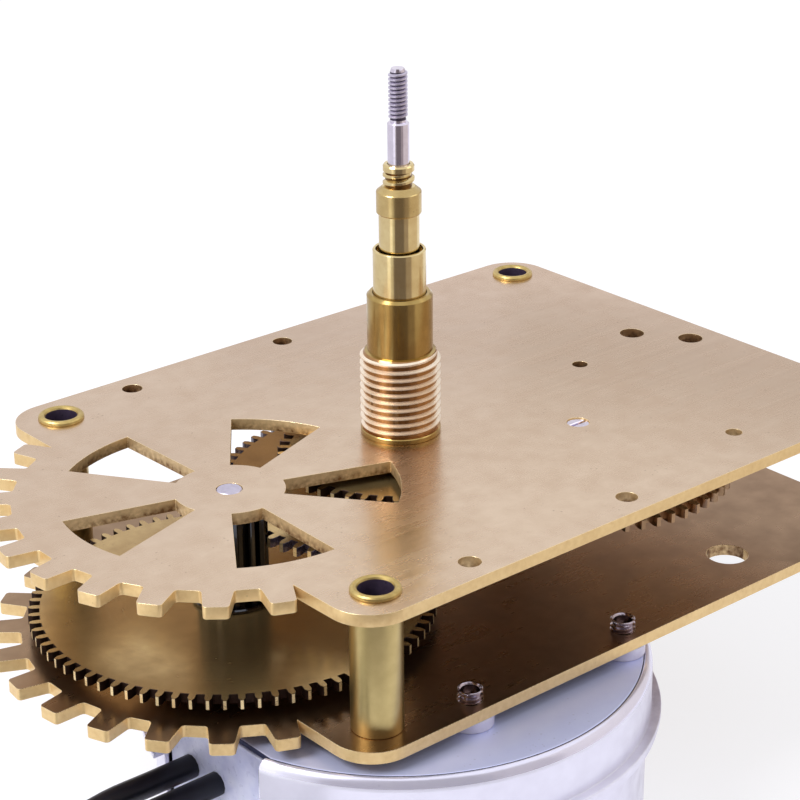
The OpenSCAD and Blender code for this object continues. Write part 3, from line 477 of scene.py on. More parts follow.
# Painted shade for the root of the seconds arbor's fine thread.
thread_shade_steel = metal("arbor_thread_steel", (84, 77, 96), (52, 46, 60), rough=0.4, amount=0.5, size=300,
                     fineness=8000, depth=0.1, speck=0.0)
crest_steel = metal("arbor_crest_steel", (204, 198, 218), (164, 156, 176), rough=0.38, amount=0.4, size=300,
                    fineness=8000, depth=0.0, speck=0.0, metallic=0.85)
pinion_steel = metal("pinion_steel", (66, 70, 80), (26, 27, 32), rough=0.14, amount=0.5, size=160,
                     fineness=8000, depth=0.05, speck=0.0, coat=0.9)
greased = metal("greased_teeth", (112, 102, 124), (46, 40, 52), rough=0.2, amount=0.9, size=500,
                fineness=3000, depth=0.3, speck=0.0, metallic=0.5, coat=0.9)
bore_shade = metal("pillar_bore_shade", (84, 70, 96), (44, 36, 54), rough=0.5, amount=0.5, size=200,
                   metallic=0.6)
face_zinc = metal("motor_face_zinc", (213, 219, 255), (197, 201, 244), rough=0.42, amount=0.5, size=50,
                  work="lines", fineness=700, depth=0.05, speck=0.2, rough_change=0.04, metallic=0.35)
# The shell's tint is pushed along X as painted shade, darker towards its right side.
shell_zinc = metal("motor_shell_zinc", (240, 239, 255), (196, 192, 210), rough=0.3, amount=0.2, size=60,
                   fineness=8000, depth=0.0, axis=MOTOR, speck=0.0, metallic=0.4, rough_change=0.02,
                   painted_shade=("X", 16, -6))
shoulder_zinc = metal("motor_shoulder_zinc", (236, 235, 255), (208, 206, 236), rough=0.2, amount=0.3, size=80,
                      fineness=8000, depth=0.0, axis=MOTOR, speck=0.1, rough_change=0.02, metallic=0.65)
seam_shade = metal("motor_seam_shade", (44, 48, 84), (24, 26, 50), rough=0.5, amount=0.4, size=80,
                   metallic=0.5)
dark_iron = metal("motor_iron", (120, 118, 122), (70, 66, 66), rough=0.45, amount=0.6, size=90)
chrome = metal("stud_chrome", (196, 186, 200), (120, 108, 122), rough=0.14, amount=0.4, size=300,
               fineness=8000, depth=0.05, speck=0.0)
cup_shade = metal("stud_cup_shade", (84, 66, 66), (42, 30, 30), rough=0.25, amount=0.5, size=400, speck=0.0)
copper = metal("copper_winding", (196, 120, 78), (140, 70, 40), rough=0.35, amount=0.5, size=200,
               fineness=1200, depth=0.8)
tinned = metal("tinned_metal", (214, 208, 196), (160, 150, 134), rough=0.28, amount=0.5, size=300)
print("metals", len(bpy.data.materials))


# %% [markdown]
# Nylon and the moulded insert are pale plastics that light enters a little: white with a
# violet shade, a soft sheen and clouds inside. Subsurface in the Principled shader lets
# the thin edges glow, and the same tarnish clouds, almost white, keep the face from being flat.

# %% Build a plastic
GRAIN_DEPTH = 0.00003  # metres


def plastic(name, light, shade, rough=0.4, subsurface=0.0, size=120.0, amount=0.6, grain=900.0):
    material, tree, shader, where, tint = tinted_material(name, light, shade, size, amount)
    skin = add(tree, "ShaderNodeTexNoise", {"Vector": where, "Scale": grain, "Detail": 3.0})
    gloss = add(tree, "ShaderNodeMapRange", {"Value": skin.outputs["Fac"], "To Min": rough - 0.06,
                                             "To Max": rough + 0.08})
    bump = add(tree, "ShaderNodeBump", {"Strength": 0.12, "Distance": GRAIN_DEPTH,
                                        "Height": skin.outputs["Fac"]})
    for key, value in (("Base Color", tint.outputs["Color"]), ("Roughness", gloss.outputs[0]),
                       ("Normal", bump.outputs[0])):
        tree.links.new(value, shader.inputs[key])
    shader.inputs["Subsurface Weight"].default_value = subsurface
    shader.inputs["Subsurface Radius"].default_value = (0.6, 0.5, 0.6)
    shader.inputs["Subsurface Scale"].default_value = 0.001
    return material


nylon = plastic("nylon", (214, 210, 230), (190, 185, 208), rough=0.3, subsurface=0.35)
block_plastic = plastic("terminal_plastic", (230, 233, 255), (192, 197, 232), rough=0.28, subsurface=0.25,
                        size=70, amount=0.9)
insulation = plastic("lead_insulation", (4, 5, 17), (15, 17, 36), rough=0.4, size=200, grain=1400)
tie_plastic = plastic("tie_plastic", (238, 236, 232), (218, 214, 206), rough=0.42, subsurface=0.1)
print("materials", len(bpy.data.materials))

# %% [markdown]
# Now the leads themselves. A curve keeps its length exactly, and a bevel as deep as the lead
# is thick gives the round insulation. Its ends are closed with caps.

# %% Leads as curves
leads = {}
for name, line in lines.items():
    data = bpy.data.curves.new(name, "CURVE")
    data.dimensions = "3D"
    data.bevel_depth = LEAD / 2000
    data.bevel_resolution = 4
    data.use_fill_caps = True
    spline = data.splines.new("POLY")
    spline.points.add(len(line) - 1)
    for point, spot in zip(spline.points, line):
        point.co = (*(0.001 * spot), 1)
    spline.use_smooth = True
    data.materials.append(insulation)
    leads[name] = bpy.data.objects.new("black_" + name, data)
    bpy.context.collection.objects.link(leads[name])
    adopt(leads[name], ("lead_a", "lead_coil") if name == "lead_a" else ("lead_b",))
print("leads", list(leads))

# %% [markdown]
# The insulation is stripped for 6 mm at the free ends and the strands are tinned into one
# thin pin. Each pin is a short rod with a rounded end: a circle, extruded, with its far rim
# bevelled. The coil is held by a band of white plastic, bent round the bundle of turns.

# %% Tinned ends
BARED = 6
PIN_START = 9.86  # from the coil's middle
PIN_TURN = 125  # degrees, against the line from the coil's middle


def tinned_end(angle, height):
    """One pin at the end of a lead, at an angle round the coil."""
    bm = bmesh.new()
    rim = bmesh.ops.create_circle(bm, cap_ends=True, radius=0.6, segments=16)["verts"]
    pulled = bmesh.ops.extrude_face_region(bm, geom=[rim[0].link_faces[0]])["geom"]
    far = [v for v in pulled if isinstance(v, bmesh.types.BMVert)]
    bmesh.ops.translate(bm, vec=(0, 0, BARED), verts=far)
    rounded = [e for e in bm.edges if all(v in far for v in e.verts)]
    bmesh.ops.bevel(bm, geom=rounded, offset=0.3, segments=3, profile=0.5, affect="EDGES", material=-1)
    bmesh.ops.recalc_face_normals(bm, faces=bm.faces)
    outward = Matrix.Rotation(math.radians(angle), 3, "Z") @ Vector((PIN_START, 0, 0))
    start = COIL + outward + Vector((0, 0, height))
    turn = Matrix.Rotation(math.radians(angle + PIN_TURN), 4, "Z") @ Matrix.Rotation(math.radians(90), 4, "Y")
    bmesh.ops.transform(bm, matrix=Matrix.Translation(start) @ turn, verts=bm.verts)
    return bm


def join(*made):
    """Several shapes as one, in the first of them."""
    for other in made[1:]:
        mesh = bpy.data.meshes.new("part")
        other.to_mesh(mesh)
        other.free()
        made[0].from_mesh(mesh)
        bpy.data.meshes.remove(mesh)
    return made[0]


pins = join(*(tinned_end(ENDS[name], LAYERS[name]) for name in leads))
tips = place(pins, "tinned_lead_tips", ("lead_tips",), [tinned])
print("tips", len(tips.data.polygons), "faces")

# %% Band round the coil
BAND_AT, BAND_WIDE = 250, 14  # degrees round the coil
bm = bmesh.new()
section = [(9.3, TABLE + 0.3), (9.06, TABLE + 0.7), (9.06, -39.9), (9.3, -39.3), (19.1, -39.2),
           (19.45, -39.6), (19.45, TABLE + 0.4), (19.1, TABLE)]
corners = [bm.verts.new((COIL.x + r, COIL.y, z)) for r, z in section]
loop = [bm.edges.new((a, b)) for a, b in zip(corners, corners[1:] + corners[:1])]
bmesh.ops.rotate(bm, cent=COIL, matrix=Matrix.Rotation(math.radians(BAND_AT), 3, "Z"), verts=corners)
bmesh.ops.spin(bm, geom=corners + loop, cent=COIL, axis=(0, 0, 1), angle=math.radians(BAND_WIDE), steps=6)
bmesh.ops.recalc_face_normals(bm, faces=bm.faces)
bmesh.ops.solidify(bm, geom=bm.faces[:], thickness=0.35)
tie = place(bm, "coil_tie", ("lead_tie",), [tie_plastic])
print("band", len(tie.data.polygons), "faces")

# %% [markdown]
# Many pieces of the movement keep the CAD outline and only need what a cutter or a die
# leaves: a small bright break along each edge. The CAD mesh stays as it is. A copy
# has its doubled points merged, its flat triangles dissolved into whole faces, and then a
# narrow bevel along every sharp edge, which catches the light as the real edge does.

# %% Copy a CAD node and break its edges
CORNER = math.radians(35)
FLAT = math.radians(0.6)


def copy_of(node):
    """A CAD node in millimetres, with whole faces in place of triangles."""
    bm = bmesh.new()
    bm.from_mesh(nodes[node].data)
    bmesh.ops.scale(bm, vec=(1000, 1000, 1000), verts=bm.verts)
    bmesh.ops.remove_doubles(bm, verts=bm.verts, dist=0.002)
    bmesh.ops.dissolve_limit(bm, angle_limit=FLAT, verts=bm.verts, edges=bm.edges)
    return bm


def break_edges(bm, width, segments):
    """Bevels every sharp edge and gives the narrow faces that this makes."""
    edges = [e for e in bm.edges if len(e.link_faces) == 2 and e.calc_face_angle(0) > CORNER]
    made = bmesh.ops.bevel(bm, geom=edges, offset=width, segments=segments, profile=0.5, affect="EDGES",
                           material=-1, clamp_overlap=True)
    return set(made["faces"])


def dressed(node, name, materials, width=0.08, segments=1, paint=None):
    """The node's own shape with broken edges. paint gives each face the number of its material."""
    bm = copy_of(node)
    breaks = break_edges(bm, width, segments)
    if paint:
        for face in bm.faces:
            face.material_index = paint(face, face in breaks)
    print(name, len(bm.faces), "faces")
    return place(bm, name, (node,), materials)


# %% [markdown]
# The plates carry everything. Their upper faces are satin, the edges that the die cut are
# yellower, and the rounded upper edges get a painted highlight. The walls of the five windows
# in the toothed lobe are brown and rough, with painted shade towards their foot. The small
# holes get painted shade inside, but those along the front edge hold a rivet on the real plate,
# so here their walls get the lighter finish. The underside of the top plate and the faces of
# the bottom plate take a darker copy of the satin brass, which is painted shade.
# One mesh can hold these finishes: each face gets the material that its direction and
# place ask for.

# %% Plates
LOBE = Vector((-26.397, 0.4))
WINDOWS = 21  # how far they reach from the lobe's middle
SHADED_HOLES = ((31.5, 0.3), (44.7, 3.5), (49.2, -3), (7.1, 33.2), (-17.6, 33.3))
FILLED_HOLES = ((30.5, -27.9), (6.9, -32.2), (-17.7, -32.4))
HOLE_REACH = 2.5
UPPER, CUT, ROUNDED, TORN, INNER, HOLE = range(6)


def near_any(spot, holes):
    return any((spot - Vector(hole)).length < HOLE_REACH for hole in holes)


def plate_finish(face, broken):
    """Faces, edges and walls of either plate, as numbers of their materials."""
    middle = face.calc_center_median()
    spot, height = middle.xy, middle.z
    # Flat faces: the underside of the top plate takes the darker brass, which is painted shade.
    if abs(face.normal.z) > 0.97:
        return INNER if face.normal.z < 0 and height > UNDER - 0.5 else UPPER
    # Rounded edges at the outer faces, and those facing up, get the painted highlight.
    if broken:
        outside = height > -1 or height < FOOT + 0.5
        return ROUNDED if outside or face.normal.z > 0 else CUT
    if (spot - LOBE).length < WINDOWS or near_any(spot, FILLED_HOLES):
        return TORN
    # These small holes get painted shade on their walls.
    return HOLE if near_any(spot, SHADED_HOLES) else CUT


dressed("top_plate", "top_plate_sheet",
        [face_brass, cut_brass, round_highlight_brass, torn_shaded_brass, inner_shade_brass, hole_shade_brass], width=0.27,
        segments=3, paint=plate_finish)
# The bottom plate's flat faces take the darker brass and its hole walls the window wall finish, as painted
# shade.
dressed("bottom_plate", "bottom_plate_sheet",
        [inner_shade_brass, cut_brass, round_highlight_brass, torn_shaded_brass, inner_shade_brass, torn_shaded_brass], width=0.2,
        segments=2, paint=plate_finish)

# %% [markdown]
# Round pieces are modelled as a lathe makes them: half of the outline is drawn beside the
# axis and spun once round. A full spin closes onto its own start. Where the outline touches
# the axis its points are merged into one pole.

# %% Lathe helper
def turn(outline, axis=(0, 0), steps=96):
    """A closed outline of radii and heights, spun once round an upright axis."""
    bm = bmesh.new()
    points = [bm.verts.new((axis[0] + r, axis[1], z)) for r, z in outline]
    chain = [bm.edges.new((a, b)) for a, b in zip(points, points[1:] + points[:1])]
    bmesh.ops.spin(bm, geom=points + chain, cent=(*axis, 0), axis=(0, 0, 1), angle=math.tau, steps=steps,
                   use_merge=True)
    bmesh.ops.remove_doubles(bm, verts=bm.verts, dist=0.0005)
    bmesh.ops.dissolve_degenerate(bm, dist=0.0002, edges=bm.edges)
    bmesh.ops.recalc_face_normals(bm, faces=bm.faces)
    return bm


def arc(centre_r, centre_z, radius, start, end, steps=6):
    """Points of a rounded corner of an outline, angles in degrees from outward."""
    angles = [math.radians(start + (end - start) * i / steps) for i in range(steps + 1)]
    return [(centre_r + radius * math.cos(a), centre_z + radius * math.sin(a)) for a in angles]


# %% [markdown]
# The four pillars are brass tubes. Their shanks pass through both plates and are rolled over
# outside like an eyelet: a fat round rim with a bright crown. The tube's body between the
# plates has fine turning marks.

# %% Pillars
BODY_R, SHANK_R, BORE_R = 3, 2.5, 1.96
RIM_MIDDLE, RIM_R = 2.46, 0.45
pillars = {"pillar_front_lobe": (-29.8, -30.5), "pillar_back_lobe": (-29.8, 31.3),
           "pillar_front_end": (48.5, -30.5), "pillar_back_end": (48.5, 31.3)}
for node, at in pillars.items():
    metal_here = metal(node + "_finish", (208, 188, 132), (178, 156, 102), rough=0.3, amount=0.4, size=90,
                       fineness=8000, depth=0.05, axis=(*at, 0), speck=0.15, rough_change=0.05)
    upper_rim = [(SHANK_R, -0.02), (2.86, -0.02), (2.9, 0.06)] + arc(RIM_MIDDLE, 0.15, RIM_R, 0, 165)
    bore = [(2.0, 0.1), (BORE_R, -1.2), (BORE_R, LOWER - 0.3), (2.0, FOOT - 0.1)]
    lower_rim = arc(RIM_MIDDLE, FOOT - 0.15, RIM_R, -165, 0) + [(2.9, FOOT - 0.06), (2.86, FOOT + 0.02)]
    body = [(SHANK_R, FOOT + 0.02), (SHANK_R, LOWER), (BODY_R - 0.1, LOWER), (BODY_R, LOWER + 0.1),
            (BODY_R, UNDER - 0.1), (BODY_R - 0.1, UNDER), (SHANK_R, UNDER)]
    bm = turn(upper_rim + bore + lower_rim + body, at, 64)
    for face in bm.faces:
        spot = face.calc_center_median()
        away = (spot.xy - Vector(at)).length
        face.material_index = 2 if away < 2.03 else 1 if spot.z > 0 or spot.z < FOOT + 0.1 else 0
    place(bm, node + "_tube", (node,), [metal_here, rim_brass, bore_shade])
print("pillars", len(pillars))

# %% [markdown]
# A real thread is one ridge that climbs round the rod. The CAD solids have plain rings
# instead, so the threads are made here. The ridge's section is a small face, which a spin
# with a rise at each step winds up into a closed ridge. Its ends sink into the rod over
# part of a turn, as a die leaves them.

# %% Thread helper
def ridge(root, crest, pitch, low, high, axis=(0, 0), steps=48, crest_share=0.16, foot_share=0.86, fade=0.25):
    """A thread between two radii. The shares are of the pitch, and fade is in turns."""
    bm = bmesh.new()
    half_foot, half_crest = foot_share * pitch / 2, crest_share * pitch / 2
    section = [(root - 0.04, -half_foot), (crest, -half_crest), (crest, half_crest), (root - 0.04, half_foot)]
    corners = [bm.verts.new((axis[0] + r, axis[1], low + half_foot + z)) for r, z in section]
    face = bm.faces.new(corners)
    turns = (high - low - 2 * half_foot) / pitch
    count = max(4, round(turns * steps))
    bmesh.ops.spin(bm, geom=corners + list(face.edges) + [face], cent=(*axis, 0), axis=(0, 0, 1),
                   dvec=(0, 0, turns * pitch / count), angle=math.tau * turns, steps=count)
    bmesh.ops.remove_doubles(bm, verts=bm.verts, dist=0.0002)
    bmesh.ops.holes_fill(bm, edges=bm.edges, sides=4)
    for v in bm.verts:
        out = Vector((v.co.x - axis[0], v.co.y - axis[1]))
        if out.length > root:
            part_turn = math.atan2(out.y, out.x) / math.tau % 1
            done = round((v.co.z - low - half_foot) / pitch - part_turn) + part_turn
            share = min(1, max(0, done) / fade, max(0, turns - done) / fade)
            sunk = root - 0.02
            r = sunk + (out.length - sunk) * share
            v.co.x, v.co.y = axis[0] + out.x * r / out.length, axis[1] + out.y * r / out.length
    bmesh.ops.recalc_face_normals(bm, faces=bm.faces)
    return bm


# %% [markdown]
# The bush is the heart of the movement: its thread fixes the movement behind the dial.
# Below the thread is a plain collar, above it a plain nose with a small chamfer. The bush
# is riveted into the plate from below.

# %% Bush
CORE_R, CREST_R, THREAD_TOP = 4.6, 5, 10.95
NOSE_R, BUSH_BORE = 4.05, 3.3
bush = turn([(BUSH_BORE, -2.1), (4.6, -2.1), (4.7, -2), (4.7, UNDER), (4.2, UNDER), (4.2, 0),
             (CREST_R - 0.1, 0), (CREST_R, 0.1), (CREST_R, 0.6), (4.9, 0.72), (CORE_R, 0.78),
             (CORE_R, THREAD_TOP - 0.35), (4.4, THREAD_TOP - 0.1), (NOSE_R, THREAD_TOP),
             (NOSE_R, NOSE_TOP - 0.35), (NOSE_R - 0.35, NOSE_TOP), (BUSH_BORE + 0.06, NOSE_TOP),
             (BUSH_BORE, NOSE_TOP - 0.06)])
# The thread's core takes the painted shade; the nose and collar take their own brass.
for face in bush.faces:
    height = face.calc_center_median().z
    face.material_index = 1 if height > THREAD_TOP - 0.15 or height < 0.75 else 0
climbing = ridge(CORE_R, CREST_R, 1, 0.5, THREAD_TOP, crest_share=0.14, foot_share=0.56, fade=0.5)
# The ridge takes the painted highlight.
for face in climbing.faces:
    face.material_index = 2
place(join(bush, climbing), "bush_with_thread", ("centre_bush",), [core_shade_brass, nose_brass, crest_highlight_brass])
print("bush ends at", NOSE_TOP)

# %% [markdown]
# The hands' shafts run one inside the other. The hour pipe has a groove level with the end
# of the bush and a wider mouth. The minute pipe has a collar and a coarse thread for the
# nut that holds the minute hand, and the slim steel arbor ends in a fine thread for the
# seconds hand.

# %% Hour pipe
HOUR_R, HOUR_BORE, MOUTH_R = 3.25, 2.525, 2.875
hour = turn([(HOUR_BORE, HOUR_LOW), (HOUR_R, HOUR_LOW), (HOUR_R, NOSE_TOP - 1), (HOUR_R - 0.2, NOSE_TOP - 1),
             (HOUR_R - 0.2, NOSE_TOP), (HOUR_R, NOSE_TOP), (HOUR_R, HOUR_TOP - 0.12),
             (HOUR_R - 0.12, HOUR_TOP), (2.93, HOUR_TOP), (MOUTH_R, HOUR_TOP - 0.06),
             (MOUTH_R, HOUR_TOP - 1.5), (HOUR_BORE, HOUR_TOP - 1.5)])
place(hour, "hour_pipe_turned", ("hour_pipe",), [shaft_brass])
print("hour pipe ends at", HOUR_TOP)

# %% Minute pipe
MINUTE_R, MINUTE_BORE = 2.475, 1.365
COLLAR_R, COLLAR_LOW, COLLAR_TOP = 2.75, 28.5, 31.9
NECK_R, NECK_TOP = 1.62, 33.75
minute = turn([(MINUTE_BORE, MINUTE_LOW), (1.765, MINUTE_LOW), (1.765, -4.5), (MINUTE_R, -4.5),
               (MINUTE_R, COLLAR_LOW), (2.62, COLLAR_LOW), (COLLAR_R, 28.66), (COLLAR_R, 31.2), (2.68, 31.32),
               (1.96, COLLAR_TOP), (NECK_R, COLLAR_TOP + 0.05), (NECK_R, NECK_TOP), (1.9, NECK_TOP + 0.1),
               (1.9, 34.45), (1.75, 34.65), (1.42, MINUTE_TOP), (MINUTE_BORE, MINUTE_TOP - 0.04)])
# The neck under the thread takes the painted shade.
for face in minute.faces:
    height = face.calc_center_median().z
    on_neck = COLLAR_TOP + 0.05 < height < NECK_TOP + 0.05
    face.material_index = 1 if on_neck else 2 if COLLAR_LOW - 0.1 < height < COLLAR_TOP else 0
minute = join(minute, ridge(NECK_R, 1.925, 0.92, 31.6, 34.1, crest_share=0.3))
place(minute, "minute_pipe_turned", ("minute_pipe",), [shaft_brass, root_shade_brass, collar_brass])
print("minute pipe ends at", MINUTE_TOP)

# %% Seconds arbor
ARBOR_R, TIP_ROOT, TIP_CREST = 1.315, 0.92, 1.15
seconds = turn([(0, ARBOR_LOW), (1.25, ARBOR_LOW), (ARBOR_R, ARBOR_LOW + 0.06), (ARBOR_R, 39.62),
                (TIP_CREST, 39.8), (0.98, 39.82), (0.98, 40.1), (TIP_ROOT, 40.15),
                (TIP_ROOT, ARBOR_TOP - 0.4), (0.78, ARBOR_TOP), (0, ARBOR_TOP)], steps=64)
# The threaded part of the arbor takes the painted shade.
for face in seconds.faces:
    face.material_index = 1 if 40.1 < face.calc_center_median().z < ARBOR_TOP - 0.5 else 0
climbing = ridge(TIP_ROOT, TIP_CREST, 0.5, 40.05, ARBOR_TOP - 0.2, steps=32, crest_share=0.36)
for face in climbing.faces:
    face.material_index = 2
place(join(seconds, climbing), "seconds_arbor_ground", ("seconds_arbor",),
      [arbor_steel, thread_shade_steel, crest_steel])
print("seconds arbor ends at", ARBOR_TOP)

# %% [markdown]
# Wheels and pinions keep their CAD teeth, because these mesh with each other. Only their
# sharp edges are broken. The face of a wheel shows rings round its own arbor, so each wheel's
# finish is centred on the axis it turns on.

# %% Wheels
SHAFTS, STUD = Vector((0, 0)), Vector((18.042, -13.157))
# Gaps take painted shade and tooth ends a painted highlight; the minute wheel's teeth, deep between the
# plates, take the darker plate brass, which is painted shade too.
wheels = {"transfer_wheel": (LOBE, gap_shade_brass, tip_highlight_brass), "centre_wheel": (SHAFTS, greased, tip_highlight_brass),
          "minute_wheel": (STUD, inner_shade_brass, inner_shade_brass), "hour_wheel": (SHAFTS, gap_shade_brass, tip_highlight_brass)}


def tooth_finish(middle, reach):
    """Face of the wheel, gaps in painted shade and ends of the teeth with a painted highlight."""
    def finish_of(face, broken):
        out = face.calc_center_median().xy - middle
        if abs(face.normal.z) > 0.9 or out.length < 0.7 * reach:
            return 0
        return 2 if out.length > reach - 0.2 and face.normal.xy.dot(out.normalized()) > 0.9 else 1
    return finish_of


for node, (middle, gaps, ends) in wheels.items():
    finish = wheel_brass if middle is SHAFTS else wheel_metal(node + "_brass", (*middle, 0))
    reach = max((v.co.xy * 1000 - middle).length for v in nodes[node].data.vertices)
    dressed(node, node + "_cut", [finish, gaps, ends], width=0.06,
            paint=tooth_finish(middle, reach))

# %% Pinions
for node, finish, slot in (("transfer_pinion", pinion_steel, "pinion_steel"),
                           ("seconds_pinion", pinion_steel, "pinion_steel"),
                           ("cannon_pinion", shaft_brass, "shaft_brass"),
                           ("motion_pinion", shaft_brass, "shaft_brass")):
    dressed(node, node + "_cut", [finish], width=0.06)

# %% [markdown]
# The motor is a drawn cup with a sheet face set into its mouth. The rounded shoulder of the
# cup shows as a white line all round, and a deep shadow line lies between it and the face.
# The notch for the terminal block is cut through the wall, so its cut edge is bright.

# %% Motor
def face_finish(face, broken):
    return 1 if face.normal.z < 0.9 else 0


def shell_finish(face, broken):
    spot = face.calc_center_median()
    on_shoulder = face.normal.z > 0.12 and spot.z > -22.5
    at_notch = broken and spot.x < -30
    return 1 if on_shoulder or at_notch else 0


dressed("motor_face", "motor_face_disc", [face_zinc, seam_shade], width=0.18, segments=2,
        paint=face_finish)
dressed("motor_shell", "motor_shell_drawn", [shell_zinc, shoulder_zinc], width=0.14,
        segments=2, paint=shell_finish)
dressed("motor_rear_can", "motor_can_drawn", [shell_zinc], width=0.1)
dressed("terminal_block", "terminal_block_moulded", [block_plastic], width=0.25, segments=3)
dressed("motor_bearing", "motor_bearing_turned", [bush_brass], width=0.15, segments=2)
dressed("nylon_washers", "nylon_spacers", [nylon], width=0.15, segments=2)

# %% [markdown]
# Two chromed studs hold the motor. Their ends stand a little above the lower plate and are
# hollowed like a cup, with a fine thread below.

# %% Motor studs
STUD_TOP, CUP_R = -15.6, 1.1
studs = []
for at in ((-18.2, -33), (6.4, -33)):
    rod = [(0, STUD_LOW), (1.15, STUD_LOW), (1.22, STUD_LOW + 0.1), (1.22, -16), (1.3, -15.9)]
    rim = arc(1.34, -15.66, 0.14, 0, 150, 4)
    shank = turn(rod + rim + arc(0, STUD_TOP, CUP_R, -8, -90, 6), at, 64)
    for face in shank.faces:
        spot = face.calc_center_median()
        face.material_index = 1 if spot.z > -17 and (spot.xy - Vector(at)).length < CUP_R + 0.05 else 0
    studs += [shank, ridge(1.2, 1.5, 0.5, STUD_LOW + 0.1, STUD_TOP - 0.25, at, 32)]
place(join(*studs), "chromed_motor_studs", ("motor_studs",), [chrome, cup_shade])
print("studs", len(studs) // 2)

# %% [markdown]
# What is left is small or deep inside: hubs, collars, the friction spring, the pivots and
# the motor's inside. Each keeps its CAD shape with broken edges and a finish of its own.

# %% Small pieces
small = {
    "motion_stud": (arbor_steel, "arbor_steel", 0.12),
    "stud_clip": (arbor_steel, "arbor_steel", 0.05),
    "transfer_arbor": (crest_steel, "arbor_steel", 0.12),
    "transfer_hub": (pinion_steel, "pinion_steel", 0.15),
    "spindle_coupling": (bush_brass, "shaft_brass", 0.15),
    "seconds_collar": (bush_brass, "shaft_brass", 0.1),
    "clutch_spring": (wheel_brass, "shaft_brass", 0.04),
    "clutch_collet": (bush_brass, "shaft_brass", 0.1),
    "motor_spindle": (arbor_steel, "arbor_steel", 0.1),
    "motor_core": (dark_iron, "motor_iron", 0.3),
    "motor_coil": (copper, "copper_winding", 0.3),
    "terminal_tabs": (tinned, "tinned_brass", 0.05),
}
for node, (finish, slot, width) in small.items():
    dressed(node, node + "_finished", [finish], width=width)
print("small pieces", len(small))

# %% [markdown]
# The studio is as plain as a product picture's: a pale floor, a white world, one broad lamp
# from the upper left and a weak one from the right. The camera and every mirror in the
# metal see pure white, while the light that falls on the object stays at a plain level.

# %% World
OBJECT_LIGHT = 0.64  # strength of the world where it lights the object


def seen_by_eye_or_mirror(tree):
    """1 for the rays of the camera, a mirror or a clear piece, and 0 for light that falls on the object."""
    path = add(tree, "ShaderNodeLightPath").outputs
    eye = add(tree, "ShaderNodeMath", {0: path["Is Camera Ray"], 1: path["Is Glossy Ray"]}, operation="ADD")
    return add(tree, "ShaderNodeMath", {0: eye.outputs[0], 1: path["Is Transmission Ray"]},
               operation="ADD").outputs[0]


world = bpy.data.worlds.new("studio")
bpy.context.scene.world = world
world.use_nodes = True
tree = world.node_tree
sky = tree.nodes["Background"]
strength = add(tree, "ShaderNodeMapRange", {"Value": seen_by_eye_or_mirror(tree), "To Min": OBJECT_LIGHT,
                                            "To Max": 1.0})
tree.links.new(strength.outputs[0], sky.inputs["Strength"])
sky.inputs["Color"].default_value = (1, 1, 1, 1)
print("world lights the object with", OBJECT_LIGHT)

# %% Floor
FLOOR_GLOW, GLOW_SHARE = 1.16, 0.6  # the rest is paper that takes the shadow
bm = bmesh.new()
bmesh.ops.create_grid(bm, x_segments=1, y_segments=1, size=4)
bmesh.ops.translate(bm, vec=(0, 0, cad_box[0][2]), verts=bm.verts)
mesh = bpy.data.meshes.new("floor")
bm.to_mesh(mesh)
bm.free()
floor = bpy.data.objects.new("floor", mesh)
bpy.context.collection.objects.link(floor)
paper = bpy.data.materials.new("floor_paper")
paper.use_nodes = True
tree = paper.node_tree
shader = tree.nodes["Principled BSDF"]
shader.inputs["Base Color"].default_value = (0.88, 0.87, 0.97, 1)
shader.inputs["Roughness"].default_value = 0.9
glow = add(tree, "ShaderNodeEmission", {"Color": (1, 1, 1, 1), "Strength": FLOOR_GLOW})
share = add(tree, "ShaderNodeMath", {0: seen_by_eye_or_mirror(tree), 1: GLOW_SHARE}, operation="MULTIPLY")
mixed = add(tree, "ShaderNodeMixShader", {0: share.outputs[0], 1: shader.outputs[0], 2: glow.outputs[0]})
tree.links.new(mixed.outputs[0], tree.nodes["Material Output"].inputs["Surface"])
mesh.materials.append(paper)
print("floor at", round(1000 * cad_box[0][2], 1), "mm")


# %% Lamps
def lamp(name, at, size, power):
    """A round soft lamp, aimed at the middle of the movement."""
    data = bpy.data.lights.new(name, "AREA")
    data.shape, data.size, data.energy = "DISK", size, power
    shown = bpy.data.objects.new(name, data)
    aim = (-Vector(at)).to_track_quat("-Z", "Y")
    shown.matrix_world = Matrix.Translation(at) @ aim.to_matrix().to_4x4()
    bpy.context.collection.objects.link(shown)


lamp("broad_lamp", (-0.65, 0.1, 0.7), 0.5, 6)
lamp("weak_lamp", (0.6, -0.5, 0.4), 0.6, 0.8)
print("lamps", len(bpy.data.lights))

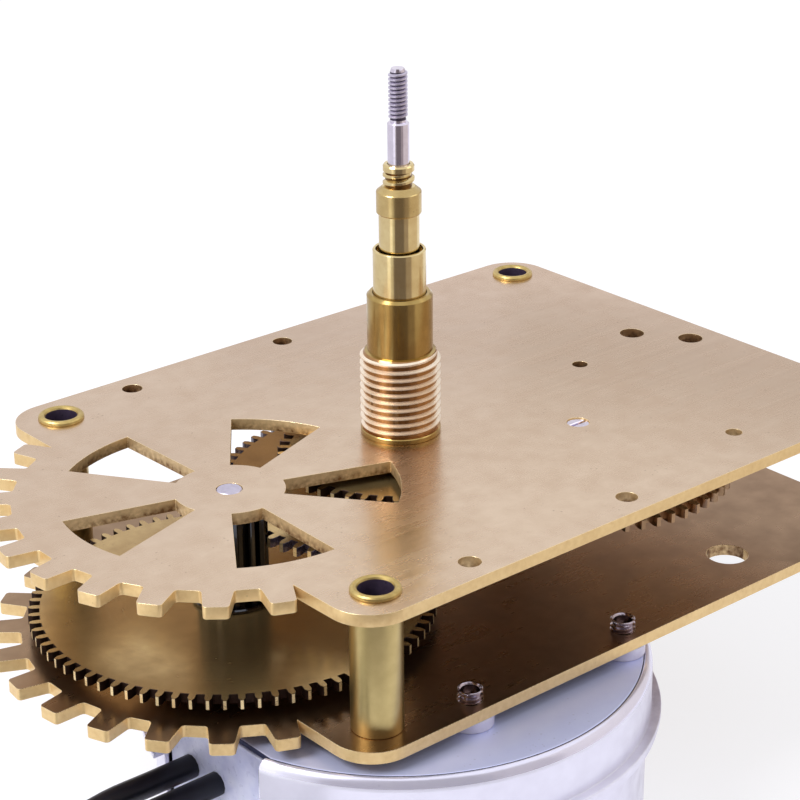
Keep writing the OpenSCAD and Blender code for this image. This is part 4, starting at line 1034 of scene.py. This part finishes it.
# %% [markdown]
# Bare metal shows its surroundings. In an all-white room a brass tube looks like paper, so a
# photographer stands dark and bright cards round the set, and their reflections draw the
# stripes down the tubes. The cards are seen only in reflections and cast no shadow.

# %% Cards
def card(name, start, end, tone, low=-0.045, high=0.07, distance=0.11):
    """An upright card on an arc round the shafts, from one angle to another, sizes in metres."""
    bm = bmesh.new()
    foot = bm.verts.new((distance, 0, low))
    head = bm.verts.new((distance, 0, high))
    edge = bm.edges.new((foot, head))
    bmesh.ops.rotate(bm, cent=(0, 0, 0), matrix=Matrix.Rotation(math.radians(start), 3, "Z"), verts=bm.verts)
    bmesh.ops.spin(bm, geom=[foot, head, edge], cent=(0, 0, 0), axis=(0, 0, 1),
                   angle=math.radians(end - start), steps=16)
    mesh = bpy.data.meshes.new(name)
    bm.to_mesh(mesh)
    bm.free()
    paint = bpy.data.materials.new(name)
    paint.use_nodes = True
    shader = paint.node_tree.nodes["Principled BSDF"]
    shader.inputs["Base Color"].default_value = (0, 0, 0, 1)
    shader.inputs["Roughness"].default_value = 1
    shader.inputs["Specular IOR Level"].default_value = 0
    shader.inputs["Emission Color"].default_value = (*tone, 1)
    shader.inputs["Emission Strength"].default_value = 1
    mesh.materials.append(paint)
    shown = bpy.data.objects.new(name, mesh)
    bpy.context.collection.objects.link(shown)
    shown.visible_camera = shown.visible_shadow = shown.visible_diffuse = False


card("dark_card", 205, 257, (0.21, 0.18, 0.175), high=0.11)
card("half_dark_card", 257, 282, (0.42, 0.36, 0.33))
card("warm_card", 282, 350, (0.82, 0.74, 0.66), distance=0.112)
card("bright_card", 178, 193, (1.35, 1.35, 1.35))
card("half_bright_card", 193, 205, (0.74, 0.72, 0.68))
card("left_card", 66, 178, (0.88, 0.87, 0.89), distance=0.113)
card("low_card", -12, 78, (1, 0.97, 1), 0.002, 0.026, 0.115)
card("grey_card", -12, 40, (0.6, 0.57, 0.56), 0.026, 0.046, 0.115)
card("pale_card", 40, 66, (0.72, 0.7, 0.73), 0.026, 0.046, 0.115)

# %% Finish
bpy.context.scene.view_settings.view_transform = "Standard"
